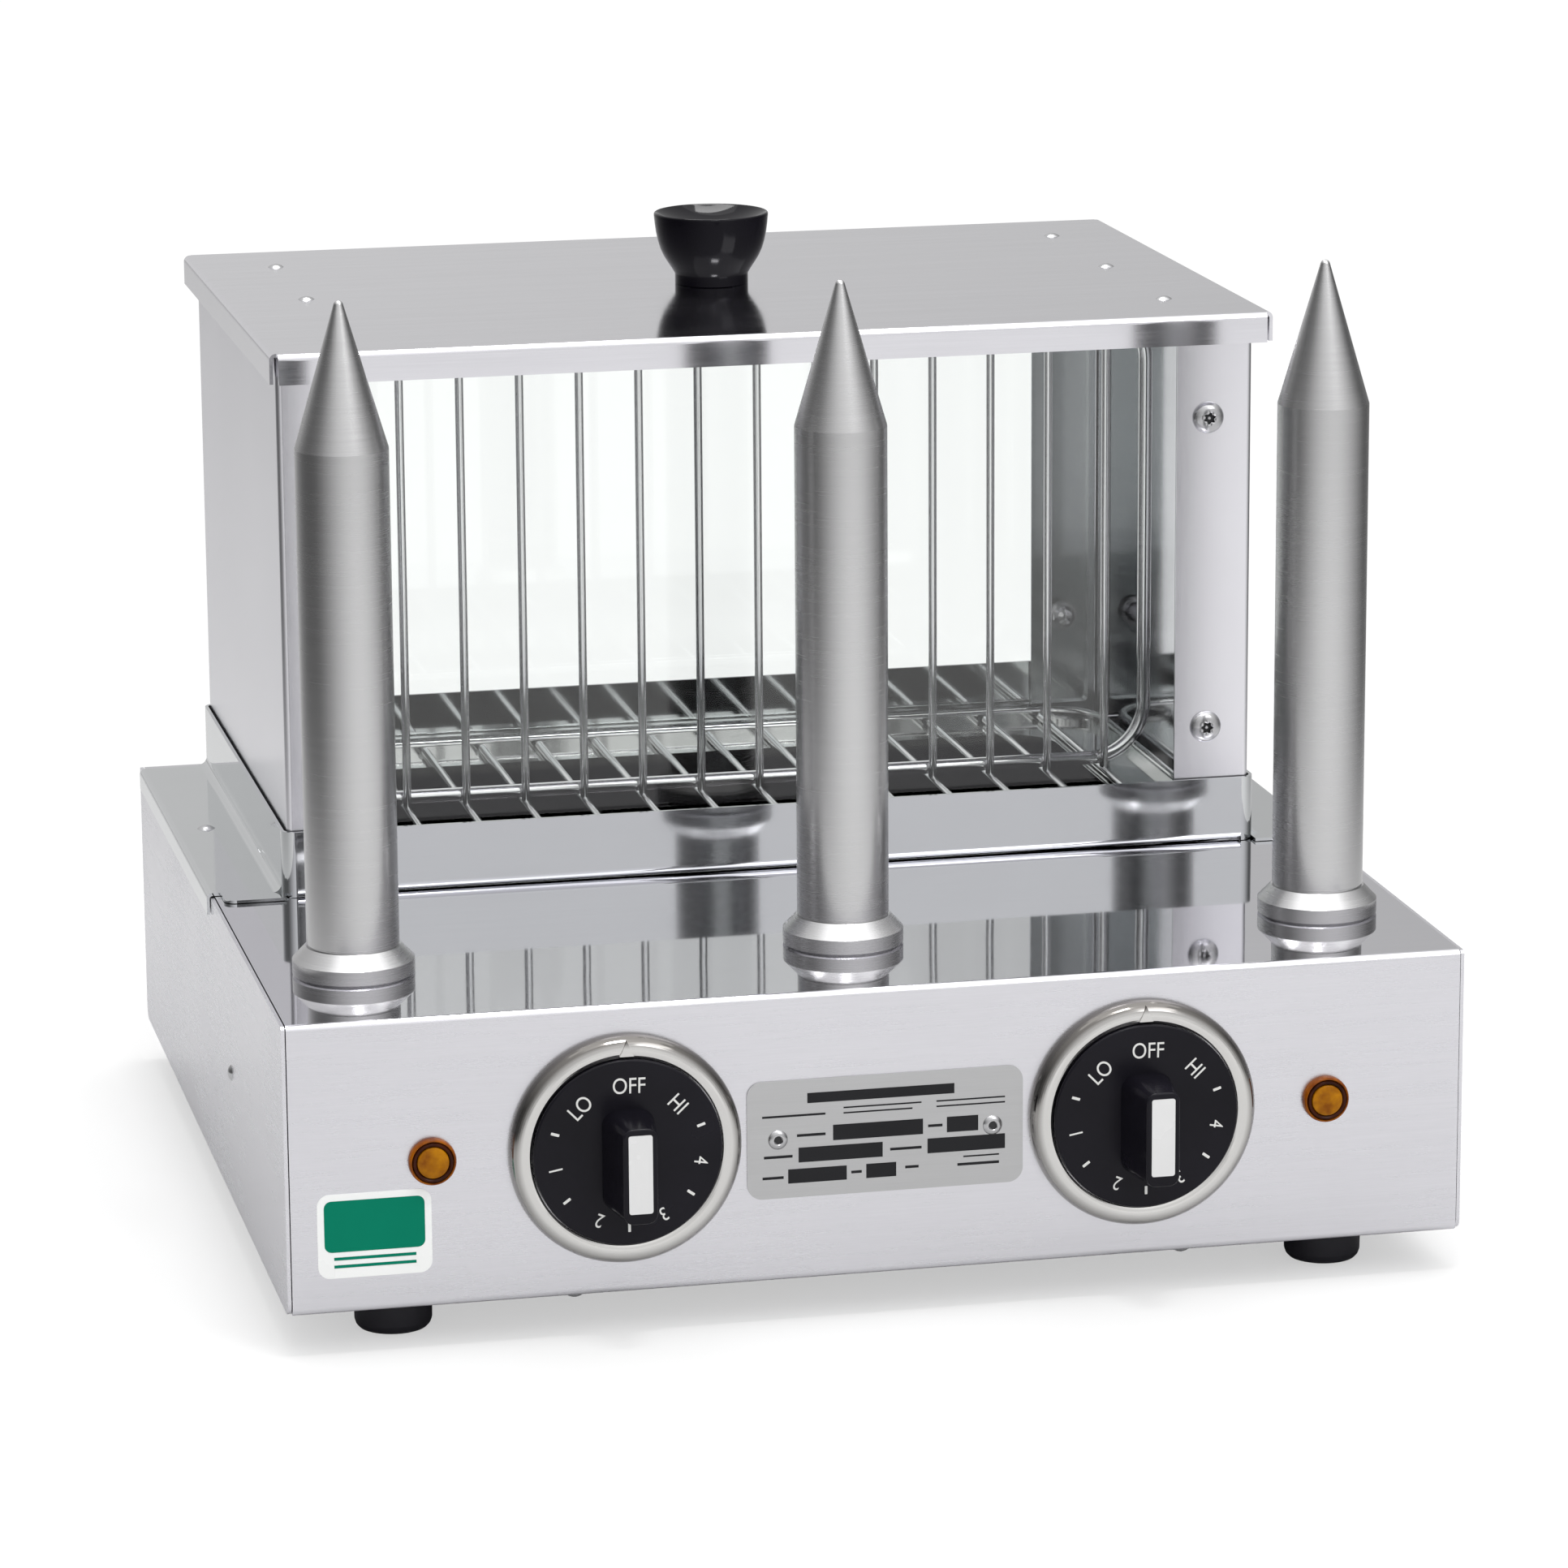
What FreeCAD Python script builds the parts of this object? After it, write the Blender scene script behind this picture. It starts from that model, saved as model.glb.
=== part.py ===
"""Counter-top hot dog steamer with a glazed steam cabinet and three heated bun spikes.

Units are millimetres. The origin is at floor level under the middle of the whole envelope, +Z is up and
the control panel faces -Y. Every separate piece is written as one STEP file in parts/.
"""
import math
import os

import FreeCAD
import Part

V = FreeCAD.Vector
X_AXIS = V(1, 0, 0)
Y_AXIS = V(0, 1, 0)
Z_AXIS = V(0, 0, 1)

# ---- driving dimensions -------------------------------------------------------------------------
SHEET = 1.2                    # stainless sheet thickness
PIECE_GAP = 0.3                # standing gap between pieces that lift off each other

BASE_WIDTH = 390.0             # bent front-and-top shell
BASE_DEPTH = 370.0
FOOT_HEIGHT = 15.0
BOX_HEIGHT = 96.5
BASE_BEND = 2.2                # outer radius of the bend between front and top
RETURN_FLANGE = 12.0           # inward flange along the bottom of the front panel

FOOT_RADIUS = 13.0
FOOT_X = 158.0
FOOT_Y = 155.0
FOOT_SCREW_RADIUS = 2.5
FOOT_SCREW_RECESS = 6.0        # depth of the counterbore under each foot
BOTTOM_SCREW_X = 102.0
BOTTOM_SCREW_Y = 177.5
BOTTOM_SCREW_SHANK = 1.75
SIDE_SCREW_Y = -58.0
SIDE_SCREW_HEIGHT = 61.0
SIDE_SCREW_SHANK = 1.5
LOUVRE_HALF_LENGTH = 12.0      # cooling slots in the rear panel
LOUVRE_HALF_WIDTH = 1.5
LOUVRE_PITCH_X = 34.0
LOUVRE_PITCH_Z = 9.0

SPIKE_PITCH = 164.0
SPIKE_Y = -125.3
SHAFT_RADIUS = 15.2
COLLAR_RADIUS = 20.0
COLLAR_HEIGHT = 5.4
COLLAR_CHAMFER = 4.6
CONE_START = 174.0             # above the base top
SPIKE_HEIGHT = 221.8
SPIKE_TIP_RADIUS = 1.6
SPIKE_STUD_RADIUS = 5.0
SPIKE_STUD_LENGTH = 16.0
HEATER_RADIUS = 6.0
HEATER_LENGTH = 140.0

SURROUND_HALF_WIDTH = 172.5
SURROUND_FRONT = -24.0
SURROUND_REAR = 182.2
SURROUND_HEIGHT = 23.0         # above the base top
SURROUND_CORNER = 5.0
FOOT_BEND = 3.0                # outer radius of the bends along the foot of the surround
WING_THICKNESS = 1.0
WING_FRONT = -27.0
WING_WRAP_START = -15.0
WING_REAR = 175.0
WING_LIP = 7.5
WING_RIVET_X = 185.8
WING_RIVET_Y = 78.0
RIVET_SHANK = 1.6              # shank radius of every rivet

TANK_CENTRE_Y = 79.0
TANK_HALF_WIDTH = 167.0
TANK_HALF_DEPTH = 95.0
TANK_LIP_HEIGHT = 6.8
TANK_LIP_WIDTH = 4.0
TANK_CORNER = 22.0
LEDGE_HEIGHT = 2.5             # top of the tank ledge above the base top
WELL_HALF_WIDTH = 142.0
WELL_HALF_DEPTH = 70.0
WELL_FLOOR = 36.0              # height of the tank floor above the counter

HOOD_HALF_WIDTH = 170.5
HOOD_FRONT = -21.7
HOOD_REAR = 180.0
HOOD_FLANGE = 27.0
HOOD_TOP_FLANGE = 6.5
GLASS = 4.0
GLASS_HALF_WIDTH = 165.0
GLASS_SCREW_X = 154.7
GLASS_SCREW_HEIGHTS = (153.0, 263.0)
GLASS_SCREW_SHANK = 2.5

LID_HALF_WIDTH = 174.1
LID_FRONT = -36.3
LID_REAR = 192.4
LID_TOP = 301.3
LID_LIP = 10.3
LID_RIVET_X = 145.2
LID_RIVET_PITCH = 76.0
LID_BEND = 2.2
LID_NOTCH = 0.5                # how far each lip stops short of the next bend

KNOB_HEIGHT = 25.4
KNOB_NECK_RADIUS = 13.0
KNOB_NECK_HEIGHT = 4.0
KNOB_RIM_RADIUS = 20.3
KNOB_DISH = 3.5
KNOB_SCREW_RADIUS = 2.5

RACK_X = 4.5                   # the loose rack stands a little right of centre
RACK_Y = 79.5
RACK_HALF_WIDTH = 155.7
RACK_TOP = 287.0
FRAME_WIRE = 5.0
RACK_WIRE = 3.0
ROD_COUNT = 14
ROD_PITCH = 21.5
CROSS_FRONT = -8.0
CROSS_REAR = 166.0

CONTROL_HEIGHT = 64.0
DIAL_X = 86.2
BEZEL_RADIUS = 38.2
BEZEL_CURVE = 4.6              # radius of the bezel's domed section
DIAL_RADIUS = 31.0
DIAL_BACK = 3.0                # back of the dial disc ahead of the panel
DIAL_FACE = 6.5                # printed face ahead of the panel
GRIP_LENGTH = 33.6
GRIP_DROP = 2.2
GRIP_HEIGHT = 20.3
GRIP_BASE_WIDTH = 17.6
GRIP_TOP_WIDTH = 11.0
INSERT_LENGTH = 26.0
INSERT_WIDTH = 7.8
SPINDLE_RADIUS = 3.0
BUSH_RADIUS = 5.0

LAMP_X = 149.0
LENS_RADIUS = 7.8
LAMP_STEM_RADIUS = 5.0
PLATE_WIDTH = 92.0
PLATE_HEIGHT = 39.6
PLATE_THICKNESS = 0.6
PLATE_CENTRE_HEIGHT = 63.0
PLATE_RIVET_X = 35.8
LABEL_X = -168.0
LABEL_HEIGHT = 41.0
LABEL_WIDTH = 37.0
LABEL_DEPTH = 28.0

GLAND_X = 120.0
GLAND_HEIGHT = 45.0
CABLE_RADIUS = 3.75
GLAND_STEM = 7.0

# ---- derived places -----------------------------------------------------------------------------
HALF_WIDTH = BASE_WIDTH / 2
FRONT = -BASE_DEPTH / 2
REAR = BASE_DEPTH / 2
BASE_BOTTOM = FOOT_HEIGHT
BASE_TOP = FOOT_HEIGHT + BOX_HEIGHT
SIDE_FACE = HALF_WIDTH + PIECE_GAP + SHEET
BOTTOM_PLATE_TOP = BASE_BOTTOM + SHEET + 0.2 + SHEET
HOOD_BOTTOM = BASE_TOP + 1.7   # the side panels stand on the surround's turned-in foot
HOOD_TOP = LID_TOP - SHEET - PIECE_GAP
GLASS_BOTTOM = BASE_TOP + TANK_LIP_HEIGHT + 0.7
LID_CENTRE_Y = (LID_FRONT + LID_REAR) / 2
CROSS_WIRE_HEIGHT = BASE_TOP + LEDGE_HEIGHT + PIECE_GAP + RACK_WIRE / 2
FRAME_BOTTOM = CROSS_WIRE_HEIGHT + RACK_WIRE / 2 + FRAME_WIRE / 2
ROD_Y = RACK_Y - FRAME_WIRE / 2 - RACK_WIRE / 2
FOOT_TOP = BOTTOM_PLATE_TOP - SHEET
FRONT_PANE_Y = HOOD_FRONT + SHEET + 0.2
REAR_PANE_Y = HOOD_REAR - SHEET - 0.2 - GLASS
GLAND_FACE = REAR - SHEET - 0.1
GLAND_REACH = 13.0             # how far the gland stands out of the rear panel
INSERT_PROUD = 0.15
ENVELOPE_SHIFT = -(GLAND_FACE + GLAND_REACH + FRONT - DIAL_FACE - GRIP_HEIGHT - INSERT_PROUD) / 2
SIDES = (-1, 1)
SPIKE_PLACES = (("left", -SPIKE_PITCH), ("middle", 0.0), ("right", SPIKE_PITCH))
LID_RIVET_ROWS = [LID_CENTRE_Y + k * LID_RIVET_PITCH for k in (-1, 0, 1)]


# ---- helpers ------------------------------------------------------------------------------------
def block(x, y, z):
    """Box between two x, two y and two z values."""
    return Part.makeBox(x[1] - x[0], y[1] - y[0], z[1] - z[0], V(x[0], y[0], z[0]))


def rod(start, end, radius):
    """Round bar between two points."""
    span = end - start
    return Part.makeCylinder(radius, span.Length, start, span)


def rounded_wire(corners):
    """Closed flat outline through (point, radius) corners, each corner rounded by a tangent arc."""
    edges = []
    ends = []
    count = len(corners)
    for index, (point, radius) in enumerate(corners):
        if radius <= 0:
            ends.append((point, point))
            continue
        before = (corners[index - 1][0] - point).normalize()
        after = (corners[(index + 1) % count][0] - point).normalize()
        half = before.getAngle(after) / 2
        reach = radius / math.tan(half)
        middle = point + (before + after).normalize() * (radius / math.sin(half) - radius)
        first = point + before * reach
        last = point + after * reach
        ends.append((first, last))
        edges.append(Part.Arc(first, middle, last).toShape())
    for index in range(count):
        start = ends[index][1]
        finish = ends[(index + 1) % count][0]
        if start.distanceToPoint(finish) > 1e-6:
            edges.append(Part.LineSegment(start, finish).toShape())
    return Part.Wire(Part.__sortEdges__(edges))


def prism(corners, direction):
    """Solid from a rounded outline pushed along a direction."""
    return Part.Face(rounded_wire(corners)).extrude(direction)


def plan_slab(x, y, z, radius):
    """Flat slab with rounded vertical corners."""
    corners = [(V(x[0], y[0], z[0]), radius), (V(x[1], y[0], z[0]), radius),
               (V(x[1], y[1], z[0]), radius), (V(x[0], y[1], z[0]), radius)]
    return prism(corners, V(0, 0, z[1] - z[0]))


def front_slab(x, y, z, radius):
    """Slab standing in the XZ plane with its four corners rounded in that plane."""
    corners = [(V(x[0], y[0], z[0]), radius), (V(x[1], y[0], z[0]), radius),
               (V(x[1], y[0], z[1]), radius), (V(x[0], y[0], z[1]), radius)]
    return prism(corners, V(0, y[1] - y[0], 0))


def round_edges(shape, radius, wanted):
    """Fillet the edges whose middle point passes a test."""
    edges = [edge for edge in shape.Edges if wanted(edge.CenterOfMass)]
    return shape.makeFillet(radius, edges)


def mirrored(shape):
    """The same shape on the other side of the YZ plane."""
    return shape.mirror(V(0, 0, 0), X_AXIS)


def pair(shape):
    """A shape and its mirror image as two separate solids."""
    return Part.makeCompound([shape, mirrored(shape)])


def group(shapes):
    """Separate solids kept together in one node."""
    return Part.makeCompound(list(shapes))


def turned(points, centre, direction):
    """Solid of revolution: points are (radius, height) from a centre along a direction."""
    outline = [V(radius, 0, height) for radius, height in points]
    outline.append(outline[0])
    solid = Part.Face(Part.makePolygon(outline)).revolve(V(0, 0, 0), Z_AXIS, 360)
    solid.Placement = FreeCAD.Placement(centre, FreeCAD.Rotation(Z_AXIS, direction))
    return solid


def drill(centre, direction, radius, reach=5.0):
    """Cutter for a round hole through a sheet, reaching the same way on both sides of a centre."""
    return Part.makeCylinder(radius, 2 * reach, centre - direction * reach, direction)


def dome_head(centre, direction, radius, height, shank_radius, shank_length):
    """Fastener with a domed head on a plain shank that reaches back into the hole."""
    sphere_radius = (radius * radius + height * height) / (2 * height)
    ball = Part.makeSphere(sphere_radius, centre + direction * (height - sphere_radius))
    head = ball.common(Part.makeCylinder(radius, height, centre, direction))
    shank = Part.makeCylinder(shank_radius, shank_length, centre - direction * shank_length, direction)
    return head.fuse(shank)


def export(name, shape):
    """Write one node, moved so that the origin lies under the middle of the whole envelope."""
    placed = shape.translated(V(0, ENVELOPE_SHIFT, 0))
    placed.exportStep("parts/%s.step" % name)


# ---- base box -----------------------------------------------------------------------------------
def front_top_shell():
    """Front panel, top plate and rear lip bent from one sheet, with all its holes."""
    inner = BASE_BEND - SHEET
    lip_bottom = BASE_TOP - RETURN_FLANGE
    y_back = FRONT + RETURN_FLANGE
    section = [
        (V(0, y_back, BASE_BOTTOM), 0), (V(0, FRONT, BASE_BOTTOM), BASE_BEND),
        (V(0, FRONT, BASE_TOP), BASE_BEND), (V(0, REAR, BASE_TOP), BASE_BEND),
        (V(0, REAR, lip_bottom), 0), (V(0, REAR - SHEET, lip_bottom), 0),
        (V(0, REAR - SHEET, BASE_TOP - SHEET), inner), (V(0, FRONT + SHEET, BASE_TOP - SHEET), inner),
        (V(0, FRONT + SHEET, BASE_BOTTOM + SHEET), inner), (V(0, y_back, BASE_BOTTOM + SHEET), 0)]
    shell = prism(section, V(BASE_WIDTH, 0, 0))
    shell.translate(V(-HALF_WIDTH, 0, 0))
    clearance = 2.0
    cutters = [plan_slab((-WELL_HALF_WIDTH - clearance, WELL_HALF_WIDTH + clearance),
                         (TANK_CENTRE_Y - WELL_HALF_DEPTH - clearance,
                          TANK_CENTRE_Y + WELL_HALF_DEPTH + clearance),
                         (BASE_TOP - 5, BASE_TOP + 5), TANK_CORNER)]
    for name, x in SPIKE_PLACES:
        cutters.append(drill(V(x, SPIKE_Y, BASE_TOP), Z_AXIS, SPIKE_STUD_RADIUS + 0.1))
    for side in SIDES:
        cutters.append(drill(V(side * DIAL_X, FRONT, CONTROL_HEIGHT), Y_AXIS, BUSH_RADIUS + 0.1))
        cutters.append(drill(V(side * LAMP_X, FRONT, CONTROL_HEIGHT), Y_AXIS, LAMP_STEM_RADIUS + 0.1))
        cutters.append(drill(V(side * PLATE_RIVET_X, FRONT, PLATE_CENTRE_HEIGHT), Y_AXIS, RIVET_SHANK + 0.02))
        cutters.append(drill(V(side * BOTTOM_SCREW_X, -BOTTOM_SCREW_Y, BASE_BOTTOM), Z_AXIS,
                             BOTTOM_SCREW_SHANK + 0.1))
    return shell.cut(group(cutters))


def side_panel():
    """Right side panel: flat sheet with rounded bottom corners and an inward bottom flange."""
    x_in = SIDE_FACE - SHEET
    top = BASE_TOP - PIECE_GAP
    corner = 4.0
    outline = [(V(x_in, FRONT + 0.4, BASE_BOTTOM), corner), (V(x_in, REAR, BASE_BOTTOM), corner),
               (V(x_in, REAR, top), 1.0), (V(x_in, FRONT + 0.4, top), 1.5)]
    web = prism(outline, V(SHEET, 0, 0))
    flange_y = BASE_DEPTH / 2 - RETURN_FLANGE - 2
    flange = block((x_in - 10, x_in + 0.1), (-flange_y, flange_y), (BASE_BOTTOM, BASE_BOTTOM + SHEET))
    hole = drill(V(x_in, SIDE_SCREW_Y, SIDE_SCREW_HEIGHT), X_AXIS, SIDE_SCREW_SHANK + 0.1)
    return web.fuse(flange).removeSplitter().cut(hole)


def rear_panel():
    """Flat rear panel behind the shell's rear lip, with louvre slots and the cable hole."""
    y_out = GLAND_FACE
    panel = block((-HALF_WIDTH + 1, HALF_WIDTH - 1), (y_out - SHEET, y_out),
                  (BOTTOM_PLATE_TOP + 0.2, BASE_TOP - BASE_BEND - 0.2))
    slots = []
    for row in range(4):
        for column in range(5):
            x = -120 + LOUVRE_PITCH_X * column
            z = 36 + LOUVRE_PITCH_Z * row
            slots.append(front_slab((x - LOUVRE_HALF_LENGTH, x + LOUVRE_HALF_LENGTH), (y_out - 4, y_out + 4),
                                    (z - LOUVRE_HALF_WIDTH, z + LOUVRE_HALF_WIDTH), LOUVRE_HALF_WIDTH - 0.01))
    hole = drill(V(GLAND_X, y_out, GLAND_HEIGHT), Y_AXIS, GLAND_STEM + 0.1)
    return panel.cut(group(slots + [hole]))


def bottom_plate():
    """Floor of the base, lying on the flanges, with a hole for each foot screw and case screw."""
    low = BOTTOM_PLATE_TOP - SHEET
    plate = block((-HALF_WIDTH + 1, HALF_WIDTH - 1), (FRONT + 2, REAR - 3), (low, BOTTOM_PLATE_TOP))
    holes = []
    for side in SIDES:
        for end in SIDES:
            holes.append(drill(V(side * FOOT_X, end * FOOT_Y, low), Z_AXIS, FOOT_SCREW_RADIUS + 0.1))
            holes.append(drill(V(side * BOTTOM_SCREW_X, end * BOTTOM_SCREW_Y, low), Z_AXIS,
                               BOTTOM_SCREW_SHANK + 0.1))
        for row in range(3):
            x = side * 40
            y = -150 + 12 * row
            holes.append(plan_slab((x - 22, x + 22), (y - 1.5, y + 1.5), (low - 5, low + 5), 1.49))
    return plate.cut(group(holes))


def at_four_corners(make_one):
    """One solid at each foot position."""
    return group(make_one(V(side * FOOT_X, end * FOOT_Y, 0)) for side in SIDES for end in SIDES)


def foot(place):
    """Rubber foot: slightly tapered, rounded at the floor, with a counterbore for its screw."""
    profile = [(0, 0), (FOOT_RADIUS - 3.2, 0), (FOOT_RADIUS - 1.7, 0.5), (FOOT_RADIUS - 0.8, 1.5),
               (FOOT_RADIUS - 0.3, 3.0), (FOOT_RADIUS, FOOT_TOP), (0, FOOT_TOP)]
    body = turned(profile, place, Z_AXIS)
    bore = Part.makeCylinder(FOOT_SCREW_RADIUS + 0.1, 30, place - Z_AXIS, Z_AXIS)
    counterbore = Part.makeCylinder(5.4, FOOT_SCREW_RECESS, place - Z_AXIS, Z_AXIS)
    return body.cut(bore.fuse(counterbore))


def foot_screw(place):
    """Pan-head screw up through the foot with its nut above the bottom plate."""
    head = Part.makeCylinder(4.6, 3.0, place + V(0, 0, 2.0), Z_AXIS)
    shank = Part.makeCylinder(FOOT_SCREW_RADIUS, BOTTOM_PLATE_TOP + 3, place + V(0, 0, 4.0), Z_AXIS)
    nut = hex_nut(place + V(0, 0, BOTTOM_PLATE_TOP), Z_AXIS, 4.6, 3.5)
    return head.fuse(shank).fuse(nut).removeSplitter()


def hex_nut(centre, direction, corner_radius, height):
    """Plain six-sided prism."""
    points = [V(corner_radius, 0, 0)]
    for corner in range(6):
        points.append(FreeCAD.Rotation(Z_AXIS, 60).multVec(points[-1]))
    points[-1] = points[0]
    nut = Part.Face(Part.makePolygon(points)).extrude(V(0, 0, height))
    nut.Placement = FreeCAD.Placement(centre, FreeCAD.Rotation(Z_AXIS, direction))
    return nut


def bottom_screws():
    """Dome-head case screws driven up through the bottom flanges."""
    screws = []
    for side in SIDES:
        for end, under in ((-1, BASE_BOTTOM), (1, BOTTOM_PLATE_TOP - SHEET)):
            place = V(side * BOTTOM_SCREW_X, end * BOTTOM_SCREW_Y, under)
            screws.append(dome_head(place, V(0, 0, -1), 4.0, 2.4, BOTTOM_SCREW_SHANK, 7.0))
    return group(screws)


# ---- bun spikes ---------------------------------------------------------------------------------
def spike(x):
    """Turned aluminium spike: collar, chamfer, plain shaft, cone with a small rounded tip."""
    chamfer_top = COLLAR_HEIGHT + COLLAR_CHAMFER
    slope = math.atan2(SHAFT_RADIUS, SPIKE_HEIGHT + SPIKE_TIP_RADIUS - CONE_START)
    tip_points = []
    steps = 6
    for step in range(steps + 1):
        angle = slope + (math.pi / 2 - slope) * step / steps
        tip_points.append((SPIKE_TIP_RADIUS * math.cos(angle),
                           SPIKE_HEIGHT - SPIKE_TIP_RADIUS + SPIKE_TIP_RADIUS * math.sin(angle)))
    tip_points[-1] = (0, SPIKE_HEIGHT)
    groove = 0.35
    profile = [(0, 0), (COLLAR_RADIUS - 0.8, 0), (COLLAR_RADIUS, 0.8), (COLLAR_RADIUS, COLLAR_HEIGHT),
               (SHAFT_RADIUS + 0.4, chamfer_top), (SHAFT_RADIUS - groove, chamfer_top),
               (SHAFT_RADIUS - groove, chamfer_top + 0.6), (SHAFT_RADIUS, chamfer_top + 0.8),
               (SHAFT_RADIUS, CONE_START)] + tip_points
    body = turned(profile, V(x, SPIKE_Y, BASE_TOP), Z_AXIS)
    stud = Part.makeCylinder(SPIKE_STUD_RADIUS, SPIKE_STUD_LENGTH,
                             V(x, SPIKE_Y, BASE_TOP - SPIKE_STUD_LENGTH), Z_AXIS)
    bore = Part.makeCylinder(HEATER_RADIUS + 0.1, HEATER_LENGTH + 10, V(x, SPIKE_Y, BASE_TOP + 4), Z_AXIS)
    lead_bore = Part.makeCylinder(3.0, SPIKE_STUD_LENGTH + 8,
                                  V(x, SPIKE_Y, BASE_TOP - SPIKE_STUD_LENGTH - 2), Z_AXIS)
    return body.fuse(stud).removeSplitter().cut(bore.fuse(lead_bore))


def spike_heater(x):
    """Cartridge heater inside a spike, with its lead stub coming out through the stud."""
    body = Part.makeCylinder(HEATER_RADIUS, HEATER_LENGTH, V(x, SPIKE_Y, BASE_TOP + 6), Z_AXIS)
    stub = Part.makeCylinder(2.0, 36, V(x, SPIKE_Y, BASE_TOP - 28), Z_AXIS)
    return body.fuse(stub)


def spike_nut(x):
    """Nut under the top plate that clamps a spike down."""
    nut = hex_nut(V(x, SPIKE_Y, BASE_TOP - SHEET - 7), Z_AXIS, 9.5, 7)
    return nut.cut(Part.makeCylinder(SPIKE_STUD_RADIUS + 0.05, 20, V(x, SPIKE_Y, BASE_TOP - 15), Z_AXIS))


# ---- tank and its surround ----------------------------------------------------------------------
def tank_surround():
    """Polished sheet wall round the tank, with a wing each side that wraps over the base edge."""
    low = BASE_TOP + 0.2
    high = BASE_TOP + SURROUND_HEIGHT
    outer = plan_slab((-SURROUND_HALF_WIDTH, SURROUND_HALF_WIDTH), (SURROUND_FRONT, SURROUND_REAR),
                      (low, high), SURROUND_CORNER)
    inner = plan_slab((-SURROUND_HALF_WIDTH + SHEET, SURROUND_HALF_WIDTH - SHEET),
                      (SURROUND_FRONT + SHEET, SURROUND_REAR - SHEET),
                      (low - 1, high + 1), SURROUND_CORNER - SHEET)
    wall = outer.cut(inner)
    for edge_y, inward in ((SURROUND_FRONT, 1), (SURROUND_REAR, -1)):
        wall = turn_foot_in(wall, edge_y, inward, low)
    wing_top = low + WING_THICKNESS
    corner = 4.0
    inset_x = HALF_WIDTH - 2.0
    lip_x = SIDE_FACE + 0.3 + WING_THICKNESS
    wing_x = SURROUND_HALF_WIDTH - SHEET / 2
    plan = [(V(wing_x, WING_FRONT, low), 0), (V(inset_x, WING_FRONT, low), corner),
            (V(inset_x, WING_WRAP_START, low), 0), (V(lip_x - 2, WING_WRAP_START, low), 0),
            (V(lip_x - 2, WING_REAR, low), 0), (V(wing_x, WING_REAR, low), 0)]
    flat = prism(plan, V(0, 0, WING_THICKNESS))
    bend = 2.0
    lip_section = [(V(lip_x - 2.5, WING_WRAP_START, wing_top), 0),
                   (V(lip_x, WING_WRAP_START, wing_top), bend),
                   (V(lip_x, WING_WRAP_START, wing_top - WING_LIP), 0),
                   (V(lip_x - WING_THICKNESS, WING_WRAP_START, wing_top - WING_LIP), 0),
                   (V(lip_x - WING_THICKNESS, WING_WRAP_START, low), bend - WING_THICKNESS),
                   (V(lip_x - 2.5, WING_WRAP_START, low), 0)]
    lip = prism(lip_section, V(0, WING_REAR - WING_WRAP_START, 0))
    rivet_hole = drill(V(WING_RIVET_X, WING_RIVET_Y, low), Z_AXIS, RIVET_SHANK + 0.02)
    wing = flat.fuse(lip).fuse(wing_bend(wing_top)).cut(rivet_hole)
    return wall.fuse(wing).fuse(mirrored(wing)).removeSplitter()


def turn_foot_in(wall, edge_y, inward, low):
    """Replaces the foot of the front or rear wall by a quarter bend that turns in under the tank side."""
    reach = SURROUND_HALF_WIDTH - SURROUND_CORNER
    axis_y = edge_y + inward * FOOT_BEND
    axis_z = low + FOOT_BEND
    strip = block((-reach, reach), tuple(sorted((edge_y - inward, axis_y))), (low - 1, axis_z))
    start = V(-reach, axis_y, axis_z)
    quarter = Part.makeCylinder(FOOT_BEND, 2 * reach, start, X_AXIS)
    quarter = quarter.cut(Part.makeCylinder(FOOT_BEND - SHEET, 2 * reach, start, X_AXIS))
    return wall.cut(strip).fuse(quarter.common(strip))


def wing_bend(wing_top):
    """Hollow fillet where the side wall of the surround sweeps out into its wing."""
    x = SURROUND_HALF_WIDTH
    y = SURROUND_FRONT + SURROUND_CORNER
    length = SURROUND_REAR - SURROUND_CORNER - y
    corner = block((x - SHEET / 2, x + FOOT_BEND), (y, y + length), (wing_top - 0.2, wing_top + FOOT_BEND))
    sweep = Part.makeCylinder(FOOT_BEND, length, V(x + FOOT_BEND, y, wing_top + FOOT_BEND), Y_AXIS)
    return corner.cut(sweep)


def wing_rivets():
    """One dome rivet in the middle of each wing."""
    place = V(WING_RIVET_X, WING_RIVET_Y, BASE_TOP + 0.2 + WING_THICKNESS)
    return pair(dome_head(place, Z_AXIS, 3.2, 1.2, RIVET_SHANK, WING_THICKNESS + 0.1))


def ring_wall(half_x, half_y, z, thickness, radius):
    """Upright wall on a rounded rectangle centred over the tank."""
    y = (TANK_CENTRE_Y - half_y, TANK_CENTRE_Y + half_y)
    outer = plan_slab((-half_x, half_x), y, z, radius)
    inner = plan_slab((-half_x + thickness, half_x - thickness), (y[0] + thickness, y[1] - thickness),
                      (z[0] - 1, z[1] + 1), radius - thickness)
    return outer.cut(inner)


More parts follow.
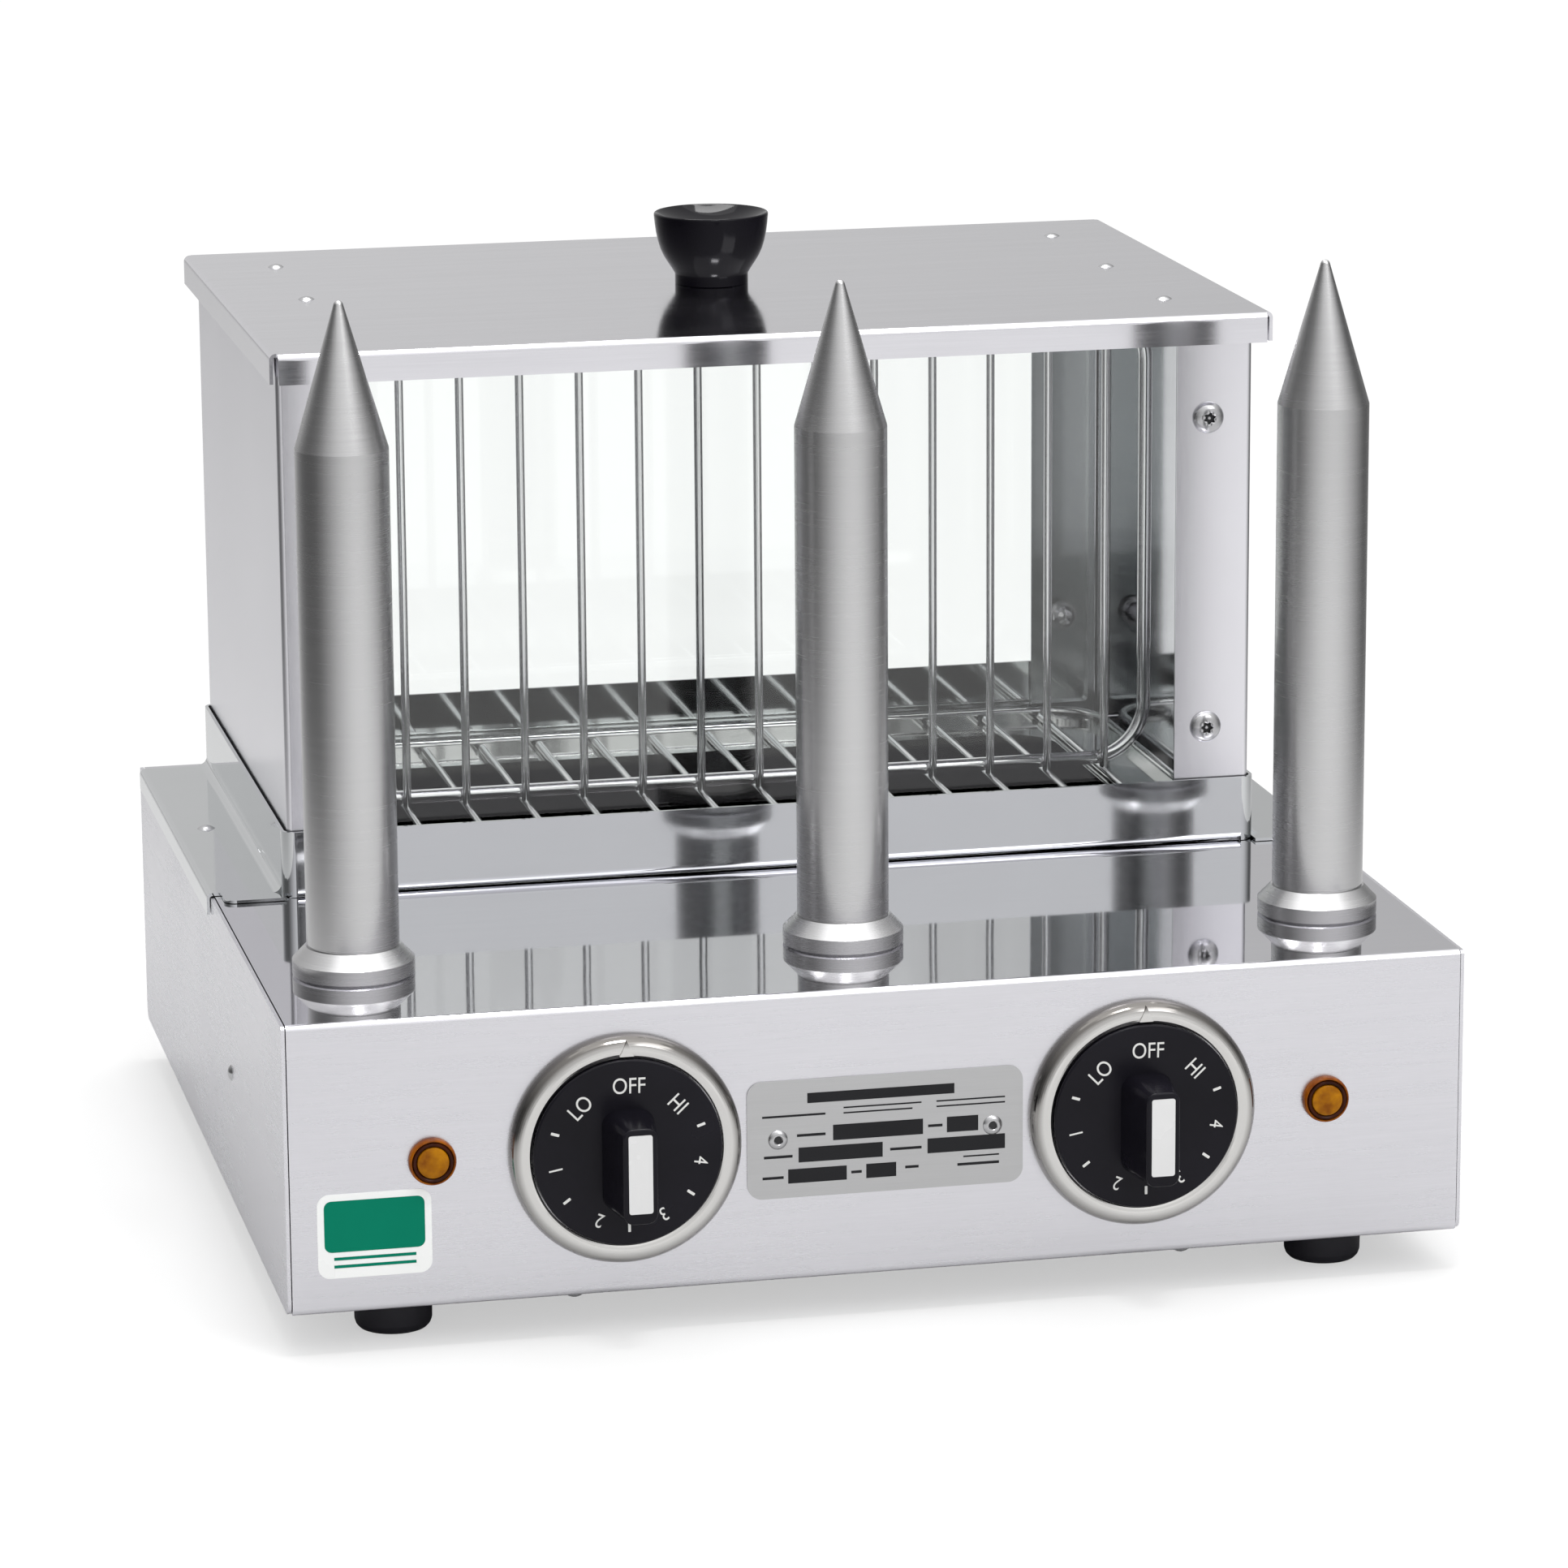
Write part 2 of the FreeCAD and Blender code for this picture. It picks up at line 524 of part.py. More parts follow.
def water_tank():
    """Pressed pan: rounded raised lip, flat ledge that rests on the base top, and a deep well."""
    lip_top = BASE_TOP + TANK_LIP_HEIGHT
    ledge_top = BASE_TOP + LEDGE_HEIGHT
    lip = ring_wall(TANK_HALF_WIDTH, TANK_HALF_DEPTH, (BASE_TOP, lip_top), TANK_LIP_WIDTH, TANK_CORNER)
    lip = round_edges(lip, 1.7, lambda p: p.z > lip_top - 0.1)
    ledge_half_x = TANK_HALF_WIDTH - TANK_LIP_WIDTH / 2
    ledge_half_y = TANK_HALF_DEPTH - TANK_LIP_WIDTH / 2
    ledge = plan_slab((-ledge_half_x, ledge_half_x),
                      (TANK_CENTRE_Y - ledge_half_y, TANK_CENTRE_Y + ledge_half_y),
                      (BASE_TOP, ledge_top), TANK_CORNER - TANK_LIP_WIDTH / 2)
    well_y = (TANK_CENTRE_Y - WELL_HALF_DEPTH, TANK_CENTRE_Y + WELL_HALF_DEPTH)
    well_outer = plan_slab((-WELL_HALF_WIDTH, WELL_HALF_WIDTH), well_y, (WELL_FLOOR - SHEET, ledge_top), 20.0)
    well_inner = plan_slab((-WELL_HALF_WIDTH + SHEET, WELL_HALF_WIDTH - SHEET),
                           (well_y[0] + SHEET, well_y[1] - SHEET), (WELL_FLOOR, ledge_top + 1), 20.0 - SHEET)
    well_inner = round_edges(well_inner, 8.0, lambda p: p.z < WELL_FLOOR + 0.1)
    return lip.fuse(ledge).fuse(well_outer).removeSplitter().cut(well_inner)


def tank_heater():
    """Flat cast heating plate clamped under the tank floor."""
    top = WELL_FLOOR - SHEET - 0.1
    return plan_slab((-90, 90), (TANK_CENTRE_Y - 40, TANK_CENTRE_Y + 40), (top - 7, top), 15.0)


def thermal_cutout():
    """Round thermal cut-out clipped to the well wall."""
    y_wall = TANK_CENTRE_Y - WELL_HALF_DEPTH - 0.1
    can = Part.makeCylinder(8.0, 9.0, V(60, y_wall - 9, 70), Y_AXIS)
    tabs = block((55, 65), (y_wall - 15, y_wall - 9), (69.4, 70.6))
    return can.fuse(tabs)


# ---- controls -----------------------------------------------------------------------------------
def bezel(x):
    """Polished bezel ring with a domed section that falls away to the dial inside."""
    inner = DIAL_RADIUS + 0.4
    crown = BEZEL_RADIUS - BEZEL_CURVE
    rise = 1.0
    last = math.acos((inner - crown) / BEZEL_CURVE)
    profile = [(inner, 0), (BEZEL_RADIUS, 0)]
    steps = 14
    for step in range(steps + 1):
        angle = last * step / steps
        profile.append((crown + BEZEL_CURVE * math.cos(angle), rise + BEZEL_CURVE * math.sin(angle)))
    ring = turned(profile, V(x, FRONT, CONTROL_HEIGHT), V(0, -1, 0))
    return ring.fuse(pointer(x))


def pointer(x):
    """Small raised triangle moulded on the top of the bezel, the reference mark for the dial."""
    y = FRONT - 2.0
    top = CONTROL_HEIGHT + BEZEL_RADIUS - 1.2
    base = CONTROL_HEIGHT + DIAL_RADIUS + 0.9
    outline = [(V(x - 2.3, y, base), 0), (V(x + 2.3, y, base), 0), (V(x, y, top), 0)]
    return prism(outline, V(0, -4.1, 0))


def dial(x):
    """Black dial: skirted disc with a tapered bar grip, bored for the spindle."""
    face_y = FRONT - DIAL_FACE
    disc = Part.makeCylinder(DIAL_RADIUS, DIAL_FACE - DIAL_BACK, V(x, face_y, CONTROL_HEIGHT), Y_AXIS)
    disc = round_edges(disc, 0.8, lambda p: p.y < face_y + 0.1)
    base = grip_outline(x, face_y + 1, GRIP_LENGTH / 2, GRIP_BASE_WIDTH / 2)
    top = grip_outline(x, face_y - GRIP_HEIGHT, GRIP_LENGTH / 2 - 1.0, GRIP_TOP_WIDTH / 2)
    grip = Part.makeLoft([base, top], True, True)
    grip = round_edges(grip, 0.7, lambda p: p.y < face_y - GRIP_HEIGHT + 0.1)
    bore = Part.makeCylinder(SPINDLE_RADIUS, 16, V(x, FRONT - DIAL_BACK - 15, CONTROL_HEIGHT), Y_AXIS)
    recess = Part.makeCylinder(BUSH_RADIUS + 4, 2.2, V(x, FRONT - DIAL_BACK - 2, CONTROL_HEIGHT), Y_AXIS)
    insert_recess = insert_slab(x, 1.0, 0.05)
    return disc.fuse(grip).removeSplitter().cut(bore.fuse(recess)).cut(insert_recess)


def grip_outline(x, y, half_length, half_width):
    """Outline of the bar grip at one depth, with rounded corners; the bar sits a little low on the dial."""
    corner = half_width * 0.6
    low = CONTROL_HEIGHT - GRIP_DROP - half_length
    high = CONTROL_HEIGHT - GRIP_DROP + half_length
    return rounded_wire([(V(x - half_width, y, low), corner), (V(x + half_width, y, low), corner),
                         (V(x + half_width, y, high), corner), (V(x - half_width, y, high), corner)])


def insert_slab(x, proud, margin):
    """White insert let into the grip, nearer the end opposite the pointer; a margin makes its recess."""
    y_front = FRONT - DIAL_FACE - GRIP_HEIGHT
    centre = CONTROL_HEIGHT - 1.4
    half_x = INSERT_WIDTH / 2 + margin
    half_z = INSERT_LENGTH / 2 + margin
    return front_slab((x - half_x, x + half_x), (y_front - proud, y_front + 1.2),
                      (centre - half_z, centre + half_z), 0.8)


def spindle(x):
    """Regulator spindle that turns with the dial."""
    return Part.makeCylinder(SPINDLE_RADIUS, 30, V(x, FRONT - DIAL_BACK - 14, CONTROL_HEIGHT), Y_AXIS)


def regulator(x):
    """Energy regulator: case behind the panel and a bush that carries the spindle."""
    y_in = FRONT + SHEET + 0.05
    case = block((x - 18, x + 18), (y_in, y_in + 34), (CONTROL_HEIGHT - 20, CONTROL_HEIGHT + 16))
    case = round_edges(case, 1.5, lambda p: abs(p.y - y_in - 34) < 0.1)
    bush = Part.makeCylinder(BUSH_RADIUS, 3.2, V(x, y_in - 3.2, CONTROL_HEIGHT), Y_AXIS)
    tabs = []
    for z in (CONTROL_HEIGHT - 12, CONTROL_HEIGHT - 4, CONTROL_HEIGHT + 4, CONTROL_HEIGHT + 12):
        tabs.append(block((x - 3, x + 3), (y_in + 34, y_in + 42), (z - 0.4, z + 0.4)))
    bore = Part.makeCylinder(SPINDLE_RADIUS + 0.06, 24, V(x, y_in - 6, CONTROL_HEIGHT), Y_AXIS)
    body = case.fuse(bush)
    for tab in tabs:
        body = body.fuse(tab)
    return body.removeSplitter().cut(bore)


def lamp_lens(x):
    """Amber pilot lens with a flat face and a rounded shoulder."""
    profile = [(0, 0), (LENS_RADIUS, 0), (LENS_RADIUS, 1.6), (LENS_RADIUS - 0.5, 2.6),
               (LENS_RADIUS - 1.6, 3.2), (0, 3.5)]
    return turned(profile, V(x, FRONT, CONTROL_HEIGHT), V(0, -1, 0))


def lamp_body(x):
    """Lamp barrel through the panel with two tags behind."""
    body = Part.makeCylinder(LAMP_STEM_RADIUS, 22, V(x, FRONT, CONTROL_HEIGHT), Y_AXIS)
    for dx in SIDES:
        body = body.fuse(block((x + dx * 2.5 - 0.4, x + dx * 2.5 + 0.4), (FRONT + 21, FRONT + 30),
                               (CONTROL_HEIGHT - 1.5, CONTROL_HEIGHT + 1.5)))
    return body


def rating_plate():
    """Thin aluminium plate with rounded corners, held by two rivets."""
    half = PLATE_WIDTH / 2
    plate = front_slab((-half, half), (FRONT - PLATE_THICKNESS, FRONT),
                       (PLATE_CENTRE_HEIGHT - PLATE_HEIGHT / 2, PLATE_CENTRE_HEIGHT + PLATE_HEIGHT / 2), 5.0)
    holes = [drill(V(side * PLATE_RIVET_X, FRONT, PLATE_CENTRE_HEIGHT), Y_AXIS, RIVET_SHANK + 0.02)
             for side in SIDES]
    return plate.cut(group(holes))


def plate_rivet(x):
    """Blind rivet: domed head with the mandrel hole in the middle."""
    place = V(x, FRONT - PLATE_THICKNESS, PLATE_CENTRE_HEIGHT)
    rivet = dome_head(place, V(0, -1, 0), 3.3, 1.1, RIVET_SHANK, 4.5)
    return rivet.cut(Part.makeCylinder(0.9, 1.6, V(x, FRONT - 2.0, PLATE_CENTRE_HEIGHT), Y_AXIS))


def info_label():
    """Plain sticker near the lower left corner of the front panel."""
    return front_slab((LABEL_X - LABEL_WIDTH / 2, LABEL_X + LABEL_WIDTH / 2), (FRONT - 0.2, FRONT),
                      (LABEL_HEIGHT - LABEL_DEPTH / 2, LABEL_HEIGHT + LABEL_DEPTH / 2), 4.0)


def side_screws():
    """One small dome-head screw in each side panel."""
    place = V(SIDE_FACE, SIDE_SCREW_Y, SIDE_SCREW_HEIGHT)
    return pair(dome_head(place, X_AXIS, 2.8, 1.3, SIDE_SCREW_SHANK, 8.0))


# ---- wiring pieces ------------------------------------------------------------------------------
def cable_gland():
    """Gland in the rear panel, bored for the mains cable."""
    y_out = GLAND_FACE
    flange = Part.makeCylinder(10.5, 3.0, V(GLAND_X, y_out, GLAND_HEIGHT), Y_AXIS)
    nose = Part.makeCone(8.5, 6.5, GLAND_REACH - 3, V(GLAND_X, y_out + 3, GLAND_HEIGHT), Y_AXIS)
    stem = Part.makeCylinder(GLAND_STEM, 10.0, V(GLAND_X, y_out - 10, GLAND_HEIGHT), Y_AXIS)
    bore = Part.makeCylinder(CABLE_RADIUS, 40, V(GLAND_X, y_out - 20, GLAND_HEIGHT), Y_AXIS)
    return flange.fuse(nose).fuse(stem).removeSplitter().cut(bore)


def gland_nut():
    """Nut that holds the gland from inside."""
    y_in = REAR - 2 * SHEET - 0.15
    nut = hex_nut(V(GLAND_X, y_in - 4, GLAND_HEIGHT), Y_AXIS, 11.0, 4.0)
    return nut.cut(Part.makeCylinder(GLAND_STEM + 0.05, 20, V(GLAND_X, y_in - 10, GLAND_HEIGHT), Y_AXIS))


def terminal_block():
    """Three-way terminal block on the bottom plate near the cable gland."""
    top = BOTTOM_PLATE_TOP + 14
    body = block((GLAND_X - 50, GLAND_X - 14), (158, 174), (BOTTOM_PLATE_TOP, top))
    body = round_edges(body, 1.0, lambda p: p.z > top - 0.1)
    wells = [Part.makeCylinder(2.6, 8, V(GLAND_X - 44 + 12 * k, 166, top - 6), Z_AXIS) for k in range(3)]
    return body.cut(group(wells))


def earth_stud():
    """Earth stud with its nut on the bottom plate."""
    place = V(GLAND_X + 30, 160, BOTTOM_PLATE_TOP)
    return Part.makeCylinder(2.0, 12, place, Z_AXIS).fuse(hex_nut(place + V(0, 0, 3), Z_AXIS, 4.2, 3.2))


# ---- hood: the steam cabinet --------------------------------------------------------------------
def hood_panel():
    """Right cabinet side: web with front, rear and top flanges bent inwards, drilled for the screws."""
    x_out = HOOD_HALF_WIDTH
    bend = 2.0
    inner = bend - SHEET
    x_flange = x_out - HOOD_FLANGE
    plan = [(V(x_flange, HOOD_FRONT, HOOD_BOTTOM), 0), (V(x_out, HOOD_FRONT, HOOD_BOTTOM), bend),
            (V(x_out, HOOD_REAR, HOOD_BOTTOM), bend), (V(x_flange, HOOD_REAR, HOOD_BOTTOM), 0),
            (V(x_flange, HOOD_REAR - SHEET, HOOD_BOTTOM), 0),
            (V(x_out - SHEET, HOOD_REAR - SHEET, HOOD_BOTTOM), inner),
            (V(x_out - SHEET, HOOD_FRONT + SHEET, HOOD_BOTTOM), inner),
            (V(x_flange, HOOD_FRONT + SHEET, HOOD_BOTTOM), 0)]
    channel = prism(plan, V(0, 0, HOOD_TOP - HOOD_BOTTOM))
    top = block((x_out - HOOD_TOP_FLANGE, x_out - SHEET / 2), (HOOD_FRONT + SHEET / 2, HOOD_REAR - SHEET / 2),
                (HOOD_TOP - SHEET, HOOD_TOP))
    holes = [Part.makeCylinder(GLASS_SCREW_SHANK + 0.1, HOOD_REAR - HOOD_FRONT + 10,
                               V(GLASS_SCREW_X, HOOD_FRONT - 5, z), Y_AXIS) for z in GLASS_SCREW_HEIGHTS]
    return channel.fuse(top).removeSplitter().cut(group(holes))


def glass_pane(y_low):
    """Toughened pane with eased edges and a hole for each screw."""
    pane = front_slab((-GLASS_HALF_WIDTH, GLASS_HALF_WIDTH), (y_low, y_low + GLASS),
                      (GLASS_BOTTOM, HOOD_TOP - SHEET - 0.4), 2.0)
    holes = [drill(V(side * GLASS_SCREW_X, y_low + GLASS / 2, z), Y_AXIS, GLASS_SCREW_SHANK + 0.6)
             for side in SIDES for z in GLASS_SCREW_HEIGHTS]
    return pane.cut(group(holes))


def glass_screws():
    """Button-head socket screws through the flanges and the glass."""
    screws = []
    for side in SIDES:
        for z in GLASS_SCREW_HEIGHTS:
            for y, outward in ((HOOD_FRONT, V(0, -1, 0)), (HOOD_REAR, V(0, 1, 0))):
                centre = V(side * GLASS_SCREW_X, y, z)
                screw = dome_head(centre, outward, 5.2, 2.6, GLASS_SCREW_SHANK, 8.6)
                socket = hex_nut(centre + outward * 1.2, outward, 1.8, 3.0)
                screws.append(screw.cut(socket))
    return group(screws)


def glass_nuts():
    """Dome nuts on the inside of each pane."""
    nuts = []
    for side in SIDES:
        for z in GLASS_SCREW_HEIGHTS:
            for y, inward in ((FRONT_PANE_Y + GLASS, V(0, 1, 0)), (REAR_PANE_Y, V(0, -1, 0))):
                centre = V(side * GLASS_SCREW_X, y + 0.05 * inward.y, z)
                washer = Part.makeCylinder(5.6, 0.8, centre, inward)
                cap = turned([(0, 0.8), (4.4, 0.8), (4.4, 3.0), (4.0, 4.0), (2.9, 4.9), (1.2, 5.4), (0, 5.5)],
                             centre, inward)
                bore = Part.makeCylinder(GLASS_SCREW_SHANK + 0.05, 4.6, centre - inward, inward)
                nuts.append(washer.fuse(cap).cut(bore))
    return group(nuts)


# ---- lid ----------------------------------------------------------------------------------------
def lid_panel():
    """Flat lid with four down-turned lips and an open slot at each corner."""
    notch = LID_BEND + LID_NOTCH
    flat_x = LID_HALF_WIDTH - notch
    flat_y = (LID_FRONT + notch, LID_REAR - notch)
    across = prism(bent_cap(LID_FRONT, LID_REAR, lambda side, z: V(-flat_x, side, z)), V(2 * flat_x, 0, 0))
    along = prism(bent_cap(-LID_HALF_WIDTH, LID_HALF_WIDTH, lambda side, z: V(side, flat_y[0], z)),
                  V(0, flat_y[1] - flat_y[0], 0))
    holes = [drill(V(side * LID_RIVET_X, y, LID_TOP), Z_AXIS, RIVET_SHANK + 0.02)
             for side in SIDES for y in LID_RIVET_ROWS]
    holes.append(drill(V(0, LID_CENTRE_Y, LID_TOP), Z_AXIS, KNOB_SCREW_RADIUS + 0.1))
    return across.fuse(along).removeSplitter().cut(group(holes))


def bent_cap(start, finish, place):
    """Section of a sheet with a down-turned lip at both ends; place turns (side, height) into a point."""
    low = LID_TOP - LID_LIP
    under = LID_TOP - SHEET
    inner = LID_BEND - SHEET
    return [(place(start, low), 0), (place(start, LID_TOP), LID_BEND),
            (place(finish, LID_TOP), LID_BEND), (place(finish, low), 0),
            (place(finish - SHEET, low), 0), (place(finish - SHEET, under), inner),
            (place(start + SHEET, under), inner), (place(start + SHEET, low), 0)]


def lid_rivets():
    """Three low dome rivets down each side of the lid."""
    return group(dome_head(V(side * LID_RIVET_X, y, LID_TOP), Z_AXIS, 2.9, 1.1, RIVET_SHANK, SHEET + 1.5)
                 for side in SIDES for y in LID_RIVET_ROWS)


def lid_stiffener():
    """Angle strip riveted under the lid to keep it flat."""
    under = LID_TOP - SHEET
    y = (LID_FRONT + 24, LID_REAR - 24)
    flat = block((LID_RIVET_X - 7, LID_RIVET_X + 7), y, (under - 1.5, under))
    leg = block((LID_RIVET_X - 7, LID_RIVET_X - 5.5), y, (under - 7, under))
    holes = [drill(V(LID_RIVET_X, row, under), Z_AXIS, RIVET_SHANK + 0.02) for row in LID_RIVET_ROWS]
    return flat.fuse(leg).removeSplitter().cut(group(holes))


def lid_knob():
    """Black knob: short neck, bowl-shaped flare and a dished top."""
    top = KNOB_HEIGHT
    rim = 1.0
    flare = Part.Arc(V(KNOB_NECK_RADIUS, 0, KNOB_NECK_HEIGHT), V(17.9, 0, 13.9),
                     V(KNOB_RIM_RADIUS, 0, top - rim))
    rim_arc = Part.Arc(V(KNOB_RIM_RADIUS, 0, top - rim), V(KNOB_RIM_RADIUS - 0.35, 0, top - 0.25),
                       V(KNOB_RIM_RADIUS - rim, 0, top))
    dish_reach = KNOB_RIM_RADIUS - rim
    dish_radius = (dish_reach ** 2 + KNOB_DISH ** 2) / (2 * KNOB_DISH)
    dish_side = math.asin(dish_reach / dish_radius) / 2
    dish_low = top - KNOB_DISH
    dish_middle = V(dish_radius * math.sin(dish_side), 0, dish_low + dish_radius * (1 - math.cos(dish_side)))
    dish = Part.Arc(V(dish_reach, 0, top), dish_middle, V(0, 0, dish_low))
    lines = [Part.LineSegment(V(0, 0, dish_low), V(0, 0, 0)),
             Part.LineSegment(V(0, 0, 0), V(KNOB_NECK_RADIUS, 0, 0)),
             Part.LineSegment(V(KNOB_NECK_RADIUS, 0, 0), V(KNOB_NECK_RADIUS, 0, KNOB_NECK_HEIGHT))]
    outline = Part.Wire(Part.__sortEdges__([curve.toShape() for curve in [flare, rim_arc, dish] + lines]))
    knob = Part.Face(outline).revolve(V(0, 0, 0), Z_AXIS, 360)
    knob.translate(V(0, LID_CENTRE_Y, LID_TOP))
    return knob.cut(Part.makeCylinder(KNOB_SCREW_RADIUS, 14, V(0, LID_CENTRE_Y, LID_TOP - 1), Z_AXIS))


def knob_screw():
    """Screw up through the lid into the knob."""
    place = V(0, LID_CENTRE_Y, LID_TOP - SHEET)
    return dome_head(place, V(0, 0, -1), 5.0, 2.4, KNOB_SCREW_RADIUS, SHEET + 12.0)


# ---- divider rack -------------------------------------------------------------------------------
def rack_frame():
    """Closed portal of thick wire with rounded corners, standing across the middle of the cabinet."""
    corner = 20.0
    low = FRAME_BOTTOM
    x0 = RACK_X - RACK_HALF_WIDTH
    x1 = RACK_X + RACK_HALF_WIDTH
    radius = FRAME_WIRE / 2
    pieces = [rod(V(x0 + corner, RACK_Y, low), V(x1 - corner, RACK_Y, low), radius),
              rod(V(x1, RACK_Y, low + corner), V(x1, RACK_Y, RACK_TOP - corner), radius),
              rod(V(x1 - corner, RACK_Y, RACK_TOP), V(x0 + corner, RACK_Y, RACK_TOP), radius),
              rod(V(x0, RACK_Y, RACK_TOP - corner), V(x0, RACK_Y, low + corner), radius)]
    for x, z, start in ((x1 - corner, low + corner, 270), (x1 - corner, RACK_TOP - corner, 0),
                        (x0 + corner, RACK_TOP - corner, 90), (x0 + corner, low + corner, 180)):
        pieces.append(quarter_bend(V(x, RACK_Y, z), corner, radius, start))
    frame = pieces[0]
    for piece in pieces[1:]:
        frame = frame.fuse(piece)
    return frame.removeSplitter()


def quarter_bend(centre, corner, radius, start):
    """Quarter ring of wire in the XZ plane, starting at an angle from +X towards +Z."""
    bend = Part.makeTorus(corner, radius, V(0, 0, 0), Z_AXIS, 0, 360, 90)
    bend.rotate(V(0, 0, 0), X_AXIS, 90)
    bend.rotate(V(0, 0, 0), Y_AXIS, -start)
    bend.translate(centre)
    return bend


def rod_places():
    """X position of each upright rod."""
    first = RACK_X - ROD_PITCH * (ROD_COUNT - 1) / 2
    return [first + ROD_PITCH * k for k in range(ROD_COUNT)]


def rack_rods():
    """Upright rods welded to the front of the portal."""
    low = CROSS_WIRE_HEIGHT + RACK_WIRE / 2
    return group(rod(V(x, ROD_Y, low), V(x, ROD_Y, RACK_TOP + 1.0), RACK_WIRE / 2) for x in rod_places())


def rack_cross_wires():
    """Wires from front to back under the portal that carry the food and rest on the tank ledge."""
    return group(rod(V(x, CROSS_FRONT, CROSS_WIRE_HEIGHT), V(x, CROSS_REAR, CROSS_WIRE_HEIGHT), RACK_WIRE / 2)
                 for x in rod_places())


# ---- write every node ---------------------------------------------------------------------------
def main():
    os.makedirs("parts", exist_ok=True)
    export("front_top_shell", front_top_shell())
    right_side = side_panel()
    export("right_side_panel", right_side)
    export("left_side_panel", mirrored(right_side))
    export("rear_panel", rear_panel())
    export("bottom_plate", bottom_plate())
    export("feet", at_four_corners(foot))
    export("foot_screws", at_four_corners(foot_screw))
    export("bottom_screws", bottom_screws())
    export("side_screws", side_screws())
    export("tank_surround", tank_surround())
    export("wing_rivets", wing_rivets())
    export("water_tank", water_tank())
    export("tank_heater", tank_heater())
    export("thermal_cutout", thermal_cutout())
    for name, x in SPIKE_PLACES:
        export("%s_spike" % name, spike(x))
    export("spike_heaters", group(spike_heater(x) for name, x in SPIKE_PLACES))
    export("spike_nuts", group(spike_nut(x) for name, x in SPIKE_PLACES))
    for name, x in (("left", -DIAL_X), ("right", DIAL_X)):
        export("%s_bezel" % name, bezel(x))
        export("%s_dial" % name, dial(x))
        export("%s_dial_insert" % name, insert_slab(x, INSERT_PROUD, 0.0))
        export("%s_spindle" % name, spindle(x))
        export("%s_regulator" % name, regulator(x))
        export("%s_lamp_lens" % name, lamp_lens(math.copysign(LAMP_X, x)))
    export("lamp_bodies", group(lamp_body(side * LAMP_X) for side in SIDES))
    export("rating_plate", rating_plate())
    export("plate_rivets", group(plate_rivet(side * PLATE_RIVET_X) for side in SIDES))
    export("info_label", info_label())
    export("cable_gland", cable_gland())
    export("gland_nut", gland_nut())
    export("terminal_block", terminal_block())
    export("earth_stud", earth_stud())
    right_hood = hood_panel()
    export("hood_right_panel", right_hood)
    export("hood_left_panel", mirrored(right_hood))
    export("front_glass", glass_pane(FRONT_PANE_Y))
    export("rear_glass", glass_pane(REAR_PANE_Y))
    export("glass_screws", glass_screws())
    export("glass_nuts", glass_nuts())
    export("lid_panel", lid_panel())
    export("lid_rivets", lid_rivets())
    export("lid_stiffeners", pair(lid_stiffener()))
    export("lid_knob", lid_knob())
    export("knob_screw", knob_screw())
    export("rack_frame", rack_frame())
    export("rack_rods", rack_rods())
    export("rack_cross_wires", rack_cross_wires())


main()
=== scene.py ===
"""Looks of the hot dog steamer: finishes, printed dials, screws, lamps, floor, light and camera."""
import math

import bmesh
import bpy
from mathutils import Matrix, Vector


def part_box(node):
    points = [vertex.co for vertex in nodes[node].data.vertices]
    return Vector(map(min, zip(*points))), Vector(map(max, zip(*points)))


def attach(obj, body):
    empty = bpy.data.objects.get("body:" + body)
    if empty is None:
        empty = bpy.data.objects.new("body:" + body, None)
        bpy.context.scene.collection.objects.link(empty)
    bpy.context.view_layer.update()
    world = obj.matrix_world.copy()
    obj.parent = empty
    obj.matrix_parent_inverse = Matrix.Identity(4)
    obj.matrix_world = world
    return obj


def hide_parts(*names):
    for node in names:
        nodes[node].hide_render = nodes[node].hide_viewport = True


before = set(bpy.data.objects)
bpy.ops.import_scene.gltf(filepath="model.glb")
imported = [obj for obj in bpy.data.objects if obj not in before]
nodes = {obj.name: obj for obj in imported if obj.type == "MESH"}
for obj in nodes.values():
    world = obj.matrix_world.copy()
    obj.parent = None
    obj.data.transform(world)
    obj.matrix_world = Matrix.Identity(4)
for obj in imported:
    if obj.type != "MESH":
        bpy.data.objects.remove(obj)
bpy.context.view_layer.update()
scene = bpy.context.scene

MM = 0.001
SHELL_LOW, SHELL_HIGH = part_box("front_top_shell")
FRONT = SHELL_LOW.y            # face of the control panel
BASE_TOP = SHELL_HIGH.z        # face of the base's top
HALF_PI = math.pi / 2


